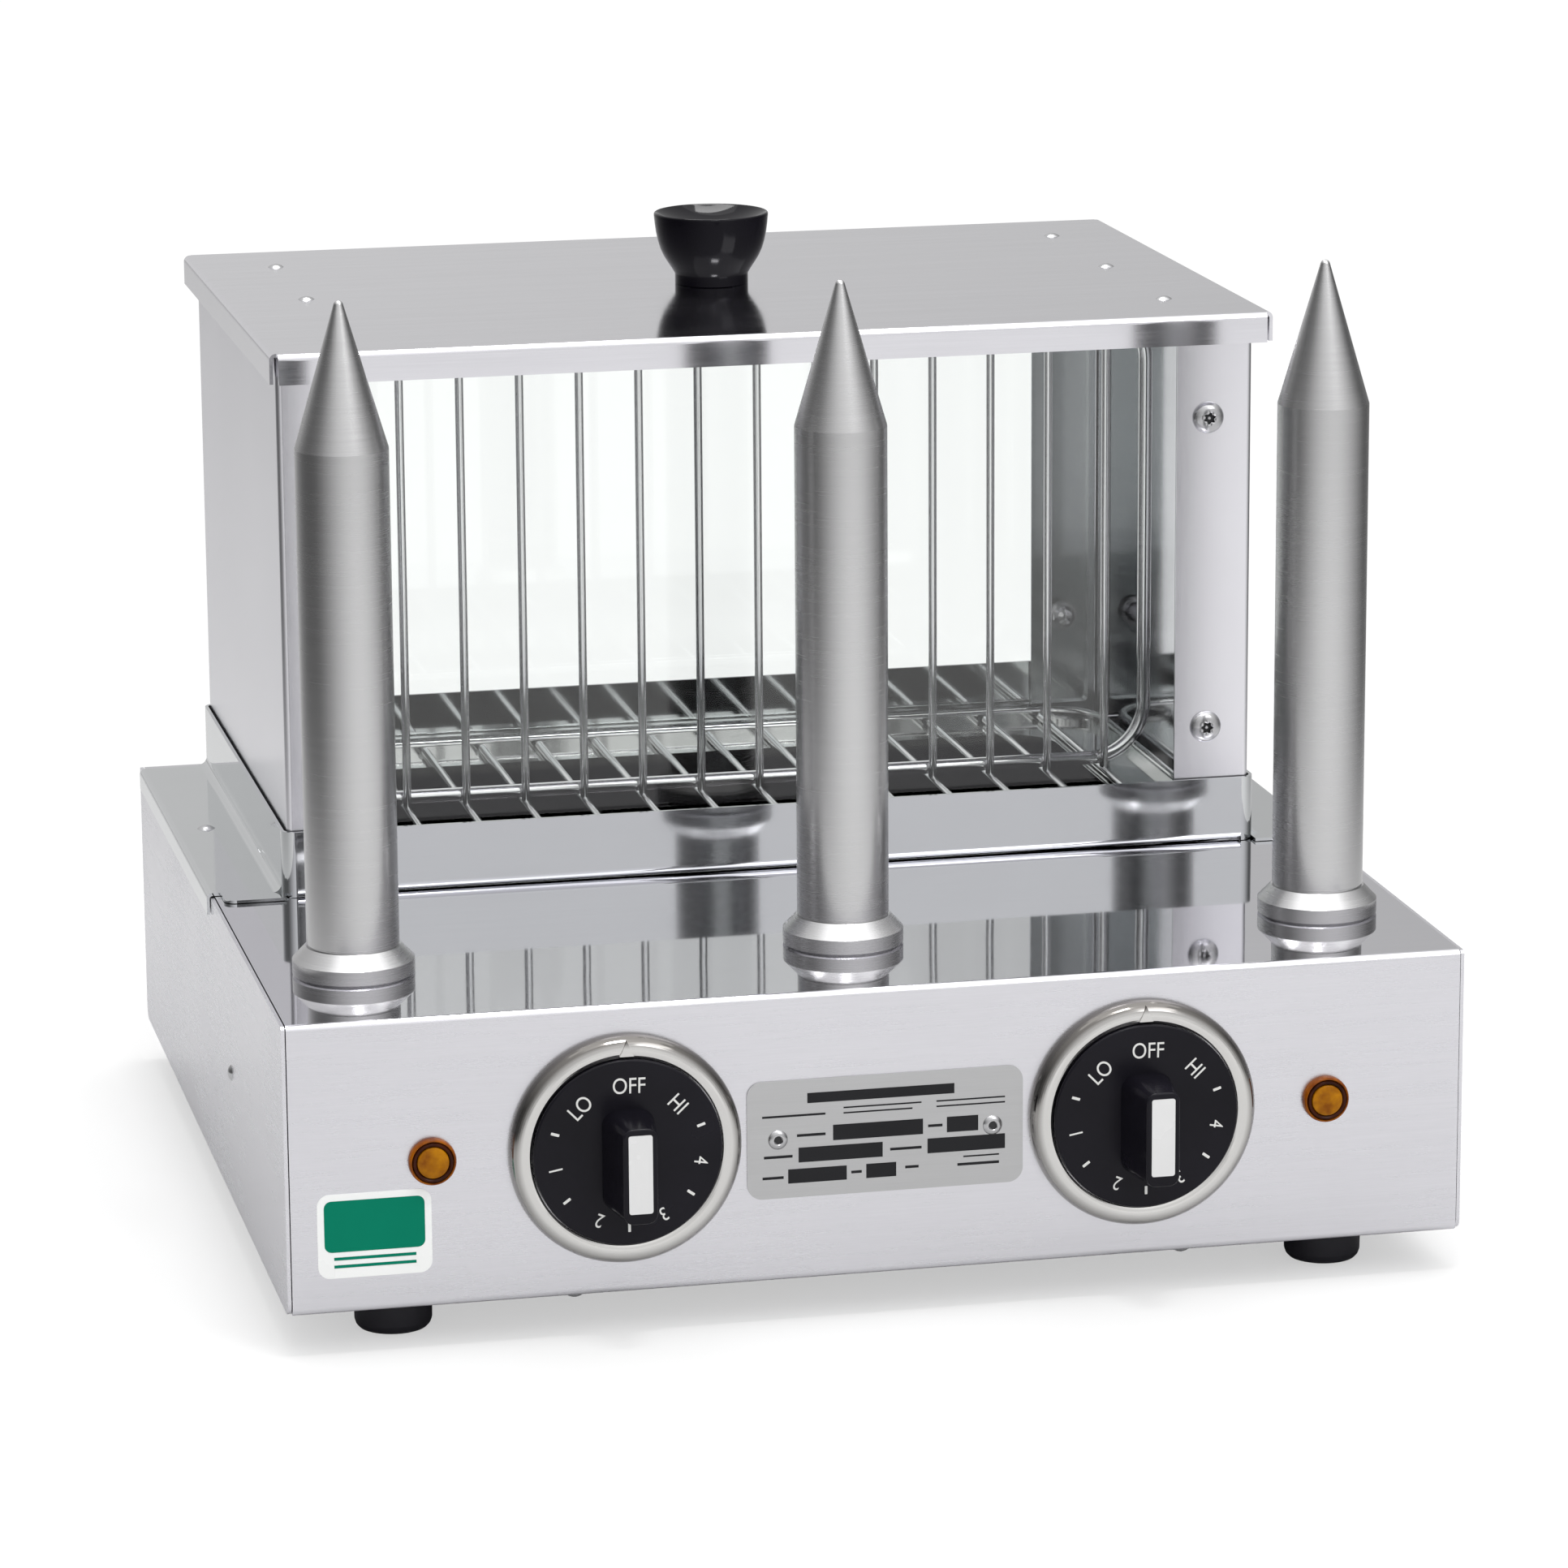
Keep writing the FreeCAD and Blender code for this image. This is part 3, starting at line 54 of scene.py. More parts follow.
# ---- node helpers -------------------------------------------------------------------------------
class Shader:
    """A material's node tree with short calls for the nodes that the finishes share."""

    def __init__(self, name):
        self.mat = bpy.data.materials.new(name)
        self.mat.use_nodes = True
        self.tree = self.mat.node_tree
        self.bsdf = self.tree.nodes["Principled BSDF"]
        self.out = self.tree.nodes["Material Output"]
        self.coords = self.add("ShaderNodeTexCoord").outputs["Object"]

    def add(self, kind, **settings):
        node = self.tree.nodes.new(kind)
        for key, value in settings.items():
            setattr(node, key, value)
        return node

    def link(self, source, target):
        self.tree.links.new(source, target)

    def stretched(self, scale):
        """Object coordinates scaled per axis, so that a small scale draws a pattern out along that axis."""
        node = self.add("ShaderNodeMapping")
        node.inputs["Scale"].default_value = scale
        self.link(self.coords, node.inputs["Vector"])
        return node.outputs["Vector"]

    def noise(self, scale, detail=2.0, vector=None, roughness=0.5):
        node = self.add("ShaderNodeTexNoise")
        node.inputs["Scale"].default_value = scale
        node.inputs["Detail"].default_value = detail
        node.inputs["Roughness"].default_value = roughness
        self.link(vector or self.coords, node.inputs["Vector"])
        return node.outputs["Fac"]

    def span(self, value, low, high, from_low=0.3, from_high=0.7):
        """Maps a value's useful range onto low to high."""
        node = self.add("ShaderNodeMapRange")
        for socket, number in (("From Min", from_low), ("From Max", from_high),
                               ("To Min", low), ("To Max", high)):
            node.inputs[socket].default_value = number
        self.link(value, node.inputs["Value"])
        return node.outputs["Result"]

    def math(self, operation, first, second):
        node = self.add("ShaderNodeMath", operation=operation)
        for socket, value in zip(node.inputs, (first, second)):
            if isinstance(value, (int, float)):
                socket.default_value = value
            else:
                self.link(value, socket)
        return node.outputs["Value"]

    def blend(self, factor, first, second):
        """Mix of two colours; each may be a colour or a socket."""
        node = self.add("ShaderNodeMix", data_type="RGBA")
        self.link(factor, node.inputs[0])
        for socket, value in ((node.inputs[6], first), (node.inputs[7], second)):
            if hasattr(value, "links"):
                self.link(value, socket)
            else:
                socket.default_value = (*value, 1)
        return node.outputs[2]

    def bump(self, height, strength, distance):
        node = self.add("ShaderNodeBump")
        node.inputs["Strength"].default_value = strength
        node.inputs["Distance"].default_value = distance
        self.link(height, node.inputs["Height"])
        self.link(node.outputs["Normal"], self.bsdf.inputs["Normal"])
        return node

    def set(self, **values):
        """Sets Principled sockets, spelt with _ for a space."""
        for key, value in values.items():
            socket = self.bsdf.inputs[key.replace("_", " ")]
            if hasattr(value, "links"):
                self.link(value, socket)
            elif isinstance(value, tuple):
                socket.default_value = (*value, 1)
            else:
                socket.default_value = value


def tinted(colour, factor):
    return tuple(channel * factor for channel in colour)


def brushed_metal(name, colour, grain, rough, spread=0.06, contrast=0.07, depth=0.25, smudge=0.05):
    """Metal with drawn-out grain. grain is the scale per axis: small along the grain, large across it."""
    s = Shader(name)
    fine = s.noise(1.0, 3.0, s.stretched(grain), 0.65)
    coarse = s.noise(1.0, 2.0, s.stretched(tuple(value / 6 for value in grain)))
    marks = s.noise(14.0, 4.0, None, 0.6)
    grain_value = s.math("ADD", s.math("MULTIPLY", fine, 0.65), s.math("MULTIPLY", coarse, 0.35))
    shade = s.blend(s.span(grain_value, 0.0, 1.0, 0.35, 0.65), tinted(colour, 1 - contrast),
                    tinted(colour, 1 + contrast))
    aged = s.blend(s.span(marks, 0.0, smudge, 0.45, 0.75), shade, tinted(colour, 0.8))
    rough_grain = s.span(grain_value, rough - spread, rough + spread, 0.35, 0.65)
    s.set(Base_Color=aged, Metallic=1.0, Roughness=s.math("ADD", rough_grain, s.span(marks, 0.0, smudge)))
    s.bump(grain_value, depth, 0.0001)
    return s


def polished_metal(name, colour, rough, ripple=0.0, smudge=0.03):
    """Mirror finish with faint wipe marks and, where asked, the slow ripple of thin sheet."""
    s = Shader(name)
    wipes = s.noise(1.0, 4.0, s.stretched((30.0, 120.0, 60.0)), 0.7)
    marks = s.noise(22.0, 5.0, None, 0.6)
    worn = s.span(marks, 0.0, smudge, 0.45, 0.8)
    s.set(Base_Color=s.blend(s.span(marks, 0.0, 0.5, 0.4, 0.8), colour, tinted(colour, 0.93)), Metallic=1.0,
          Roughness=s.math("ADD", s.span(wipes, rough, rough + smudge), worn))
    if ripple:
        s.bump(s.noise(16.0, 1.0), ripple, 0.002)
    return s


def moulded(name, colour, rough, speckle=1400.0, depth=0.15, contrast=0.12, specular=0.5):
    """Moulded plastic or rubber: fine pebble bump, faint flow marks and rub marks."""
    s = Shader(name)
    pebble = s.noise(speckle, 2.0)
    flow = s.noise(40.0, 4.0)
    shade = s.blend(s.span(flow, 0.0, 1.0), tinted(colour, 1 - contrast), tinted(colour, 1 + contrast))
    s.set(Base_Color=shade,
          Roughness=s.span(flow, max(0.03, rough - 0.06), rough + 0.04), Specular_IOR_Level=specular)
    s.bump(pebble, depth, 0.0001)
    return s


# ---- finishes -----------------------------------------------------------------------------------
STEEL = (0.80, 0.793, 0.832)
SHELL_GRAIN = 0.12             # bump strength of the brushed control panel
HOOD_GRAIN = 0.03              # and of the hood's outside
SHEET = 1.2 * MM               # thickness of the hood's sheet


def shell_finish():
    """The shell's front is brushed along X; its top, past the bend, is close to a mirror."""
    s = brushed_metal("shell_steel", tinted(STEEL, 0.93), (60.0, 1700.0, 1700.0), 0.27, spread=0.04,
                      contrast=0.025, depth=SHELL_GRAIN)
    separate = s.add("ShaderNodeSeparateXYZ")
    s.link(s.coords, separate.inputs[0])
    on_top = s.span(separate.outputs["Z"], 0.0, 1.0, BASE_TOP - 1.6 * MM, BASE_TOP - 0.6 * MM)
    brushed_rough = s.bsdf.inputs["Roughness"].links[0].from_socket
    wipes = s.noise(1.0, 4.0, s.stretched((30.0, 120.0, 60.0)), 0.7)
    mix = s.add("ShaderNodeMix", data_type="FLOAT")
    s.link(on_top, mix.inputs[0])
    s.link(brushed_rough, mix.inputs[2])
    s.link(s.span(wipes, 0.03, 0.055), mix.inputs[3])
    s.set(Roughness=mix.outputs[0])
    shade = s.bsdf.inputs["Base Color"].links[0].from_socket
    s.set(Base_Color=s.blend(s.math("MULTIPLY", on_top, 0.5), shade, tinted(STEEL, 0.92)))
    grain_bump = s.bsdf.inputs["Normal"].links[0].from_node
    s.link(s.math("MULTIPLY", s.math("SUBTRACT", 1.0, on_top), SHELL_GRAIN), grain_bump.inputs["Strength"])
    ripple = s.add("ShaderNodeBump")
    ripple.inputs["Distance"].default_value = 0.002
    s.link(s.noise(14.0, 1.0), ripple.inputs["Height"])
    s.link(s.math("MULTIPLY", on_top, 0.05), ripple.inputs["Strength"])
    s.link(ripple.outputs["Normal"], grain_bump.inputs["Normal"])
    return s.mat


def hood_finish():
    """Finely brushed outside; the faces that look into the chamber are close to a mirror, and the inward
    flanges are coloured dark grey as painted shade.
    """
    s = brushed_metal("hood_steel", tinted(STEEL, 1.05), (1500.0, 1300.0, 90.0), 0.24, spread=0.012,
                      contrast=0.012, depth=HOOD_GRAIN, smudge=0.02)
    low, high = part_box("hood_right_panel")
    separate = s.add("ShaderNodeSeparateXYZ")
    s.link(s.coords, separate.inputs[0])
    across = s.math("ABSOLUTE", separate.outputs["X"], 0.0)
    along = s.math("ABSOLUTE", s.math("SUBTRACT", separate.outputs["Y"], (low.y + high.y) / 2), 0.0)
    inside = s.math("MULTIPLY", s.math("LESS_THAN", across, high.x - SHEET / 2),
                    s.math("LESS_THAN", along, (high.y - low.y) / 2 - SHEET / 2))
    # painted shade: the inward flanges get a flat dark grey
    flange_shade = s.math("MULTIPLY", inside, s.math("LESS_THAN", across, high.x - 1.6 * SHEET))
    shade = s.bsdf.inputs["Base Color"].links[0].from_socket
    s.set(Base_Color=s.blend(flange_shade, shade, (0.34, 0.36, 0.37)))
    inside = s.math("SUBTRACT", inside, flange_shade)
    mix = s.add("ShaderNodeMix", data_type="FLOAT")
    s.link(inside, mix.inputs[0])
    s.link(s.bsdf.inputs["Roughness"].links[0].from_socket, mix.inputs[2])
    s.link(s.span(s.noise(20.0, 4.0), 0.05, 0.10), mix.inputs[3])
    s.set(Roughness=mix.outputs[0])
    bump = s.bsdf.inputs["Normal"].links[0].from_node
    s.link(s.math("MULTIPLY", s.math("SUBTRACT", 1.0, inside), HOOD_GRAIN), bump.inputs["Strength"])
    return s.mat


def tank_finish():
    """Bright pressed lip and ledge; the well below is coloured near black as painted shade, with blotchy
    stains over lip and well.
    """
    s = Shader("tank_steel")
    separate = s.add("ShaderNodeSeparateXYZ")
    s.link(s.coords, separate.inputs[0])
    stains = s.noise(24.0, 5.0, None, 0.6)
    wipes = s.noise(1.0, 4.0, s.stretched((40.0, 140.0, 60.0)), 0.7)
    # painted shade: the well below the ledge is coloured near black
    well_shade = s.span(separate.outputs["Z"], 1.0, 0.0, BASE_TOP - 3.0 * MM, BASE_TOP + 2.4 * MM)
    bright = s.blend(s.span(stains, 0.0, 0.6), (0.78, 0.785, 0.78), (0.62, 0.63, 0.62))
    dark = s.blend(s.span(stains, 0.0, 1.0), (0.055, 0.05, 0.055), (0.11, 0.105, 0.11))
    s.set(Base_Color=s.blend(well_shade, bright, dark), Metallic=1.0, Roughness=s.span(wipes, 0.05, 0.12))
    s.bump(s.noise(16.0, 1.0), 0.03, 0.002)
    return s.mat


def glass_finish():
    """Clear toughened glass with a faint green edge tint; lamps shine through it."""
    s = Shader("cabinet_glass")
    smears = s.noise(9.0, 5.0, None, 0.65)
    s.set(Base_Color=(0.985, 0.998, 0.991), Transmission_Weight=1.0, IOR=1.5,
          Roughness=s.span(smears, 0.0, 0.005, 0.4, 0.8))
    clear = s.add("ShaderNodeBsdfTransparent")
    clear.inputs["Color"].default_value = (0.90, 0.93, 0.92, 1)
    path = s.add("ShaderNodeLightPath")
    mix = s.add("ShaderNodeMixShader")
    s.link(path.outputs["Is Shadow Ray"], mix.inputs[0])
    s.link(s.bsdf.outputs[0], mix.inputs[1])
    s.link(clear.outputs[0], mix.inputs[2])
    s.link(mix.outputs[0], s.out.inputs["Surface"])
    return s.mat


def spike_finish():
    """Turned aluminium: fine feed rings, slow banding and a satin sheen."""
    s = brushed_metal("turned_aluminium", (0.60, 0.598, 0.603), (40.0, 40.0, 3200.0), 0.25, spread=0.02,
                      contrast=0.03, depth=0.014, smudge=0.02)
    s.set(Anisotropic=0.5)
    tangent = s.add("ShaderNodeTangent", direction_type="RADIAL", axis="Z")
    s.link(tangent.outputs[0], s.bsdf.inputs["Tangent"])
    return s.mat


def bezel_finish():
    """Chrome ring with painted shade on its steep outer shoulder, darkest towards the top; the crown and
    inner slope stay bright.
    """
    s = polished_metal("bezel_chrome", (0.70, 0.69, 0.675), 0.10, smudge=0.03)
    centre = (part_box("right_bezel")[0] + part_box("right_bezel")[1]) / 2
    separate = s.add("ShaderNodeSeparateXYZ")
    s.link(s.coords, separate.inputs[0])
    across = s.math("SUBTRACT", s.math("ABSOLUTE", separate.outputs["X"], 0.0), centre.x)
    up = s.math("SUBTRACT", separate.outputs["Z"], centre.z)
    squares = s.math("ADD", s.math("MULTIPLY", across, across), s.math("MULTIPLY", up, up))
    reach = s.math("POWER", squares, 0.5)
    # painted shade: the outer shoulder is coloured dark, more so towards the top of the ring
    shoulder = s.span(reach, 0.0, 1.0, 34.4 * MM, 36.4 * MM)
    upper = s.span(up, 0.45, 1.0, -25.0 * MM, 20.0 * MM)
    shoulder_shade = s.math("MULTIPLY", shoulder, upper)
    chrome = s.bsdf.inputs["Base Color"].links[0].from_socket
    s.set(Base_Color=s.blend(shoulder_shade, chrome, (0.20, 0.19, 0.18)))
    return s.mat


def lamp_finish(name, dark, light):
    """Amber moulding with cloudy depth under a glossy skin."""
    s = Shader(name)
    swirl = s.noise(230.0, 3.0)
    s.set(Base_Color=s.blend(s.span(swirl, 0.0, 1.0), dark, light), Roughness=s.span(swirl, 0.10, 0.18),
          Coat_Weight=0.05, Coat_Roughness=0.03, IOR=1.49, Specular_IOR_Level=0.12)
    s.bump(s.noise(420.0, 1.0), 0.08, 0.0003)
    return s.mat


LEVEL_GRAIN = (28.0, 1500.0, 1500.0)
finish = {
    "shell": shell_finish(),
    "side": brushed_metal("side_steel", tinted(STEEL, 0.94), (1500.0, 60.0, 1500.0), 0.24, spread=0.03,
                          contrast=0.025, depth=0.10).mat,
    "hood": hood_finish(),
    "lid": brushed_metal("lid_steel", tinted(STEEL, 0.96), LEVEL_GRAIN, 0.085, spread=0.02, contrast=0.04,
                         depth=0.06).mat,
    "under": brushed_metal("inner_steel", tinted(STEEL, 0.85), LEVEL_GRAIN, 0.33).mat,
    "surround": polished_metal("polished_steel", (0.69, 0.705, 0.715), 0.045, ripple=0.03).mat,
    "tank": tank_finish(),
    "wire": polished_metal("drawn_wire", (0.86, 0.86, 0.87), 0.12).mat,
    "chrome": bezel_finish(),
    "fastener": polished_metal("fastener_steel", (0.52, 0.52, 0.53), 0.17, smudge=0.08).mat,
    "spike": spike_finish(),
    "heater": brushed_metal("heater_steel", (0.34, 0.33, 0.32), (90.0, 90.0, 500.0), 0.42,
                            contrast=0.15).mat,
    "rubber": moulded("foot_rubber", (0.016, 0.015, 0.020), 0.55, 900.0, 0.35, specular=0.3).mat,
    "black": moulded("black_moulding", (0.0075, 0.0068, 0.0105), 0.24, 1800.0, 0.05, 0.2,
                     specular=0.16).mat,
    "gloss_black": moulded("knob_moulding", (0.0040, 0.0034, 0.0058), 0.09, 1800.0, 0.01, 0.2,
                           specular=0.15).mat,
    # painted shade: near black for the bottoms of screw recesses and rivet holes
    "socket": moulded("socket_shadow", (0.035, 0.035, 0.037), 0.5, 1800.0, 0.05, 0.2, specular=0.3).mat,
    "white": moulded("white_moulding", (0.77, 0.77, 0.77), 0.28, 1500.0, 0.08, 0.03).mat,
    "grey_plastic": moulded("dark_moulding", (0.06, 0.06, 0.065), 0.45).mat,
    "cream": moulded("cream_moulding", (0.74, 0.70, 0.60), 0.42).mat,
    "lamp": lamp_finish("amber_face", (0.22, 0.062, 0.0), (0.47, 0.185, 0.001)),
    "lamp_rim": lamp_finish("amber_rim", (0.13, 0.022, 0.001), (0.36, 0.10, 0.001)),
    "lamp_groove": lamp_finish("amber_shadow", (0.016, 0.003, 0.001), (0.05, 0.009, 0.002)),
    "plate": brushed_metal("plate_aluminium", (0.53, 0.53, 0.535), (40.0, 1700.0, 1700.0), 0.32,
                           contrast=0.03, depth=0.12).mat,
    "label": moulded("label_film", (0.94, 0.95, 0.94), 0.30, 1200.0, 0.05, 0.02).mat,
    "glass": glass_finish(),
    "brass": brushed_metal("earth_brass", (0.75, 0.58, 0.28), (300.0, 300.0, 900.0), 0.28).mat,
    "ink_white": moulded("white_print", (0.80, 0.80, 0.78), 0.45, 1500.0, 0.05, 0.04).mat,
    "ink_black": moulded("black_print", (0.012, 0.012, 0.014), 0.38, 1500.0, 0.05, 0.15, specular=0.2).mat,
    "ink_green": moulded("green_print", (0.0, 0.20, 0.118), 0.5, 1500.0, 0.05, 0.05, specular=0.08).mat,
}

FINISH_OF = {
    "shell": ["front_top_shell"],
    "side": ["left_side_panel", "right_side_panel"],
    "hood": ["hood_left_panel", "hood_right_panel"],
    "lid": ["lid_panel"],
    "under": ["rear_panel", "bottom_plate", "lid_stiffeners"],
    "surround": ["tank_surround"],
    "tank": ["water_tank"],
    "wire": ["rack_frame", "rack_rods", "rack_cross_wires"],
    "chrome": ["left_bezel", "right_bezel"],
    "fastener": ["bottom_screws", "side_screws", "foot_screws", "glass_screws", "glass_nuts", "lid_rivets",
                 "wing_rivets", "plate_rivets", "knob_screw", "spike_nuts", "left_spindle",
                 "right_spindle"],
    "spike": ["left_spike", "middle_spike", "right_spike"],
    "heater": ["spike_heaters", "tank_heater", "thermal_cutout"],
    "rubber": ["feet"],
    "black": ["left_dial", "right_dial"],
    "gloss_black": ["lid_knob"],
    "white": ["left_dial_insert", "right_dial_insert"],
    "grey_plastic": ["left_regulator", "right_regulator", "lamp_bodies", "cable_gland", "gland_nut"],
    "cream": ["terminal_block"],
    "lamp": ["left_lamp_lens", "right_lamp_lens"],
    "plate": ["rating_plate"],
    "label": ["info_label"],
    "glass": ["front_glass", "rear_glass"],
    "brass": ["earth_stud"],
}
for kind, names in FINISH_OF.items():
    for name in names:
        holder = nodes[name]
        if not holder.material_slots:
            holder.data.materials.append(finish[kind])
        for slot in holder.material_slots:
            slot.link = "OBJECT"
            slot.material = finish[kind]


# ---- mesh helpers -------------------------------------------------------------------------------
def new_piece(name, mesh, kind, body, replaces=()):
    """A finished piece: its mesh already in the row frame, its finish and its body."""
    mesh.materials.append(finish[kind])
    piece = bpy.data.objects.new(name, mesh)
    scene.collection.objects.link(piece)
    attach(piece, body)
    if replaces:
        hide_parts(*replaces)
    return piece


def mesh_from(bm, name, smooth_angle=35.0):
    bmesh.ops.recalc_face_normals(bm, faces=bm.faces)
    mesh = bpy.data.meshes.new(name)
    for face in bm.faces:
        face.smooth = True
    limit = math.radians(smooth_angle)
    for edge in bm.edges:
        edge.smooth = len(edge.link_faces) == 2 and edge.calc_face_angle(0.0) < limit
    bm.to_mesh(mesh)
    bm.free()
    return mesh


def front_place(centre, outward):
    """Matrix from a local frame (x right, y up, z out) to a point on a face that looks along -Y or +Y."""
    right = Vector((-outward, 0, 0))
    return Matrix((
        (right.x, 0, 0, centre[0]),
        (0, 0, outward, centre[1]),
        (0, 1, 0, centre[2]),
        (0, 0, 0, 1)))


def add_rings(bm, rings, place, segments=96):
    """Adds a closed turned body. Each ring is (radius, height), where the radius may be a function of the
    angle, and a radius of 0 closes an end."""
    previous = None
    for radius, height in rings:
        if radius == 0:
            ring = [bm.verts.new(place @ Vector((0, 0, height)))]
        else:
            ring = []
            for step in range(segments):
                angle = 2 * math.pi * step / segments
                reach = radius(angle) if callable(radius) else radius
                point = Vector((reach * math.cos(angle), reach * math.sin(angle), height))
                ring.append(bm.verts.new(place @ point))
        if previous is not None:
            join_rings(bm, previous, ring)
        previous = ring


def join_rings(bm, first, second):
    count = max(len(first), len(second))
    for step in range(count):
        after = (step + 1) % count
        corners = []
        for ring, order in ((first, (step, after)), (second, (after, step))):
            corners += [ring[0]] if len(ring) == 1 else [ring[k] for k in order]
        bm.faces.new(corners)


def in_mm(rings):
    return [(radius * MM if not callable(radius) else radius, height * MM) for radius, height in rings]


def add_slab(bm, place, x, y, depth, radius=0.0, corner_steps=6):
    """Adds a flat slab with rounded corners in the local xy plane, from z 0 to depth."""
    outline = []
    for cx, cy, start in ((x[1], y[1], 0), (x[0], y[1], 1), (x[0], y[0], 2), (x[1], y[0], 3)):
        sign_x = 1 if cx == x[1] else -1
        sign_y = 1 if cy == y[1] else -1
        if radius == 0:
            outline.append((cx, cy))
            continue
        for step in range(corner_steps + 1):
            angle = HALF_PI * (start + step / corner_steps)
            outline.append((cx - sign_x * radius + radius * math.cos(angle),
                            cy - sign_y * radius + radius * math.sin(angle)))
    low_ring = [bm.verts.new(place @ Vector((px, py, 0))) for px, py in outline]
    high_ring = [bm.verts.new(place @ Vector((px, py, depth))) for px, py in outline]
    bm.faces.new(high_ring)
    bm.faces.new(list(reversed(low_ring)))
    count = len(outline)
    for k in range(count):
        bm.faces.new([low_ring[k], low_ring[(k + 1) % count], high_ring[(k + 1) % count], high_ring[k]])


def add_text(bm, words, place, size, depth, stretch=0.84):
    """Adds solid lettering centred on the local origin of place."""
    curve = bpy.data.curves.new("words", "FONT")
    curve.body = words
    curve.size = size
    curve.extrude = depth / 2
    curve.align_x = "CENTER"
    curve.align_y = "CENTER"
    curve.resolution_u = 6
    holder = bpy.data.objects.new("words", curve)
    scene.collection.objects.link(holder)
    bpy.context.view_layer.update()
    mesh = bpy.data.meshes.new_from_object(holder.evaluated_get(bpy.context.evaluated_depsgraph_get()))
    mesh.transform(place @ Matrix.Diagonal((stretch, 1, 1, 1)))
    bm.from_mesh(mesh)
    bpy.data.objects.remove(holder)
    bpy.data.curves.remove(curve)
    bpy.data.meshes.remove(mesh)


# ---- dials --------------------------------------------------------------------------------------
DIAL_FACE = 6.5 * MM           # printed face ahead of the panel
PRINT_DEPTH = 0.06 * MM
PRINT_LIFT = 0.01 * MM         # gap between print and face
WORD_RADIUS = 22.1 * MM
NUMBER_RADIUS = 23.9 * MM
TICK_RADIUS = 25.1 * MM
WORD_SIZE = 7.5 * MM
NUMBER_SIZE = 6.6 * MM
DIAL_WORDS = (("OFF", 1), ("HI", 47), ("4", 100), ("3", 152), ("2", 204), ("1", 260), ("LO", 316))
DIAL_TICKS = (72, 126, 180, 234, 288)


def middle(node):
    low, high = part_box(node)
    return (low + high) / 2


def dial_print(side):
    """White scale on a dial's face: words and numbers with their tops outward, and short radial ticks."""
    centre = middle(side + "_dial")
    face = front_place((centre.x, FRONT - DIAL_FACE - PRINT_LIFT, middle(side + "_spindle").z), -1)
    bm = bmesh.new()
    for words, degrees in DIAL_WORDS:
        turn = Matrix.Rotation(-math.radians(degrees), 4, "Z")
        size, radius = (NUMBER_SIZE, NUMBER_RADIUS) if words.isdigit() else (WORD_SIZE, WORD_RADIUS)
        lift = Matrix.Translation((0, radius, PRINT_DEPTH / 2))
        add_text(bm, words, face @ turn @ lift, size, PRINT_DEPTH)
    for degrees in DIAL_TICKS:
        turn = Matrix.Rotation(-math.radians(degrees), 4, "Z")
        add_slab(bm, face @ turn, (-0.45 * MM, 0.45 * MM), (TICK_RADIUS - 1.4 * MM, TICK_RADIUS + 1.4 * MM),
                 PRINT_DEPTH, 0.2 * MM)
    new_piece(side + "_dial_print", mesh_from(bm, side + "_dial_print"), "ink_white", side + "_dial")


# ---- pilot lamps --------------------------------------------------------------------------------
def pilot_lamp(side):
    """Lens in three parts: a rounded amber rim, a groove coloured near black as painted shade, and a flat
    clear face.
    """
    centre = middle(side + "_lamp_lens")
    place = front_place((centre.x, FRONT, centre.z), -1)
    parts = (
        ("rim", "lamp_rim", [(0, 0.3), (6.7, 0.3), (6.75, 2.2), (6.95, 2.7), (7.2, 2.75), (7.5, 2.4),
                             (7.75, 1.5), (7.8, 0.0), (0, 0.0)]),
        # painted shade: the groove is coloured near-black amber
        ("groove", "lamp_groove", [(0, 0.4), (5.2, 0.4), (5.25, 2.5), (5.5, 2.9), (5.95, 3.1), (6.4, 3.0),
                                   (6.65, 2.6), (6.7, 0.35), (0, 0.35)]),
        ("face", "lamp", [(0, 3.45), (3.5, 3.4), (4.6, 3.25), (5.05, 3.0), (5.2, 2.6), (5.2, 0.45),
                          (0, 0.45)]),
    )
    for part, kind, rings in parts:
        bm = bmesh.new()
        add_rings(bm, in_mm(rings), place)
        name = "%s_lamp_%s" % (side, part)
        replaced = (side + "_lamp_lens",) if part == "face" else ()
        new_piece(name, mesh_from(bm, name), kind, "base", replaced)


# ---- screws and rivets --------------------------------------------------------------------------
SCREW_HEAD = 5.2 * MM          # radius of a glass screw's head in the CAD model
RIVET_HEAD = 3.3 * MM          # radius of a plate rivet's head
RIVET_RISE = 1.1 * MM          # and how far it stands off the plate


def lobes(radius, depth, count=6):
    """Radius of a lobed recess as a function of angle."""
    return lambda angle: radius * MM * (1 + depth * math.cos(count * angle))


def lobed_head(bm, place):
    """Low button head with a six-lobed recess round a centre pin."""
    add_rings(bm, in_mm([(0, 1.9), (0.45, 1.9), (0.6, 1.75), (0.6, 1.1), (lobes(1.75, 0.17), 1.1),
                         (lobes(1.85, 0.17), 2.38), (lobes(2.1, 0.12), 2.5), (3.1, 2.40), (4.0, 2.05),
                         (4.8, 1.55), (5.3, 1.0), (5.55, 0.5), (5.6, 0.0), (0, 0.0)]), place)


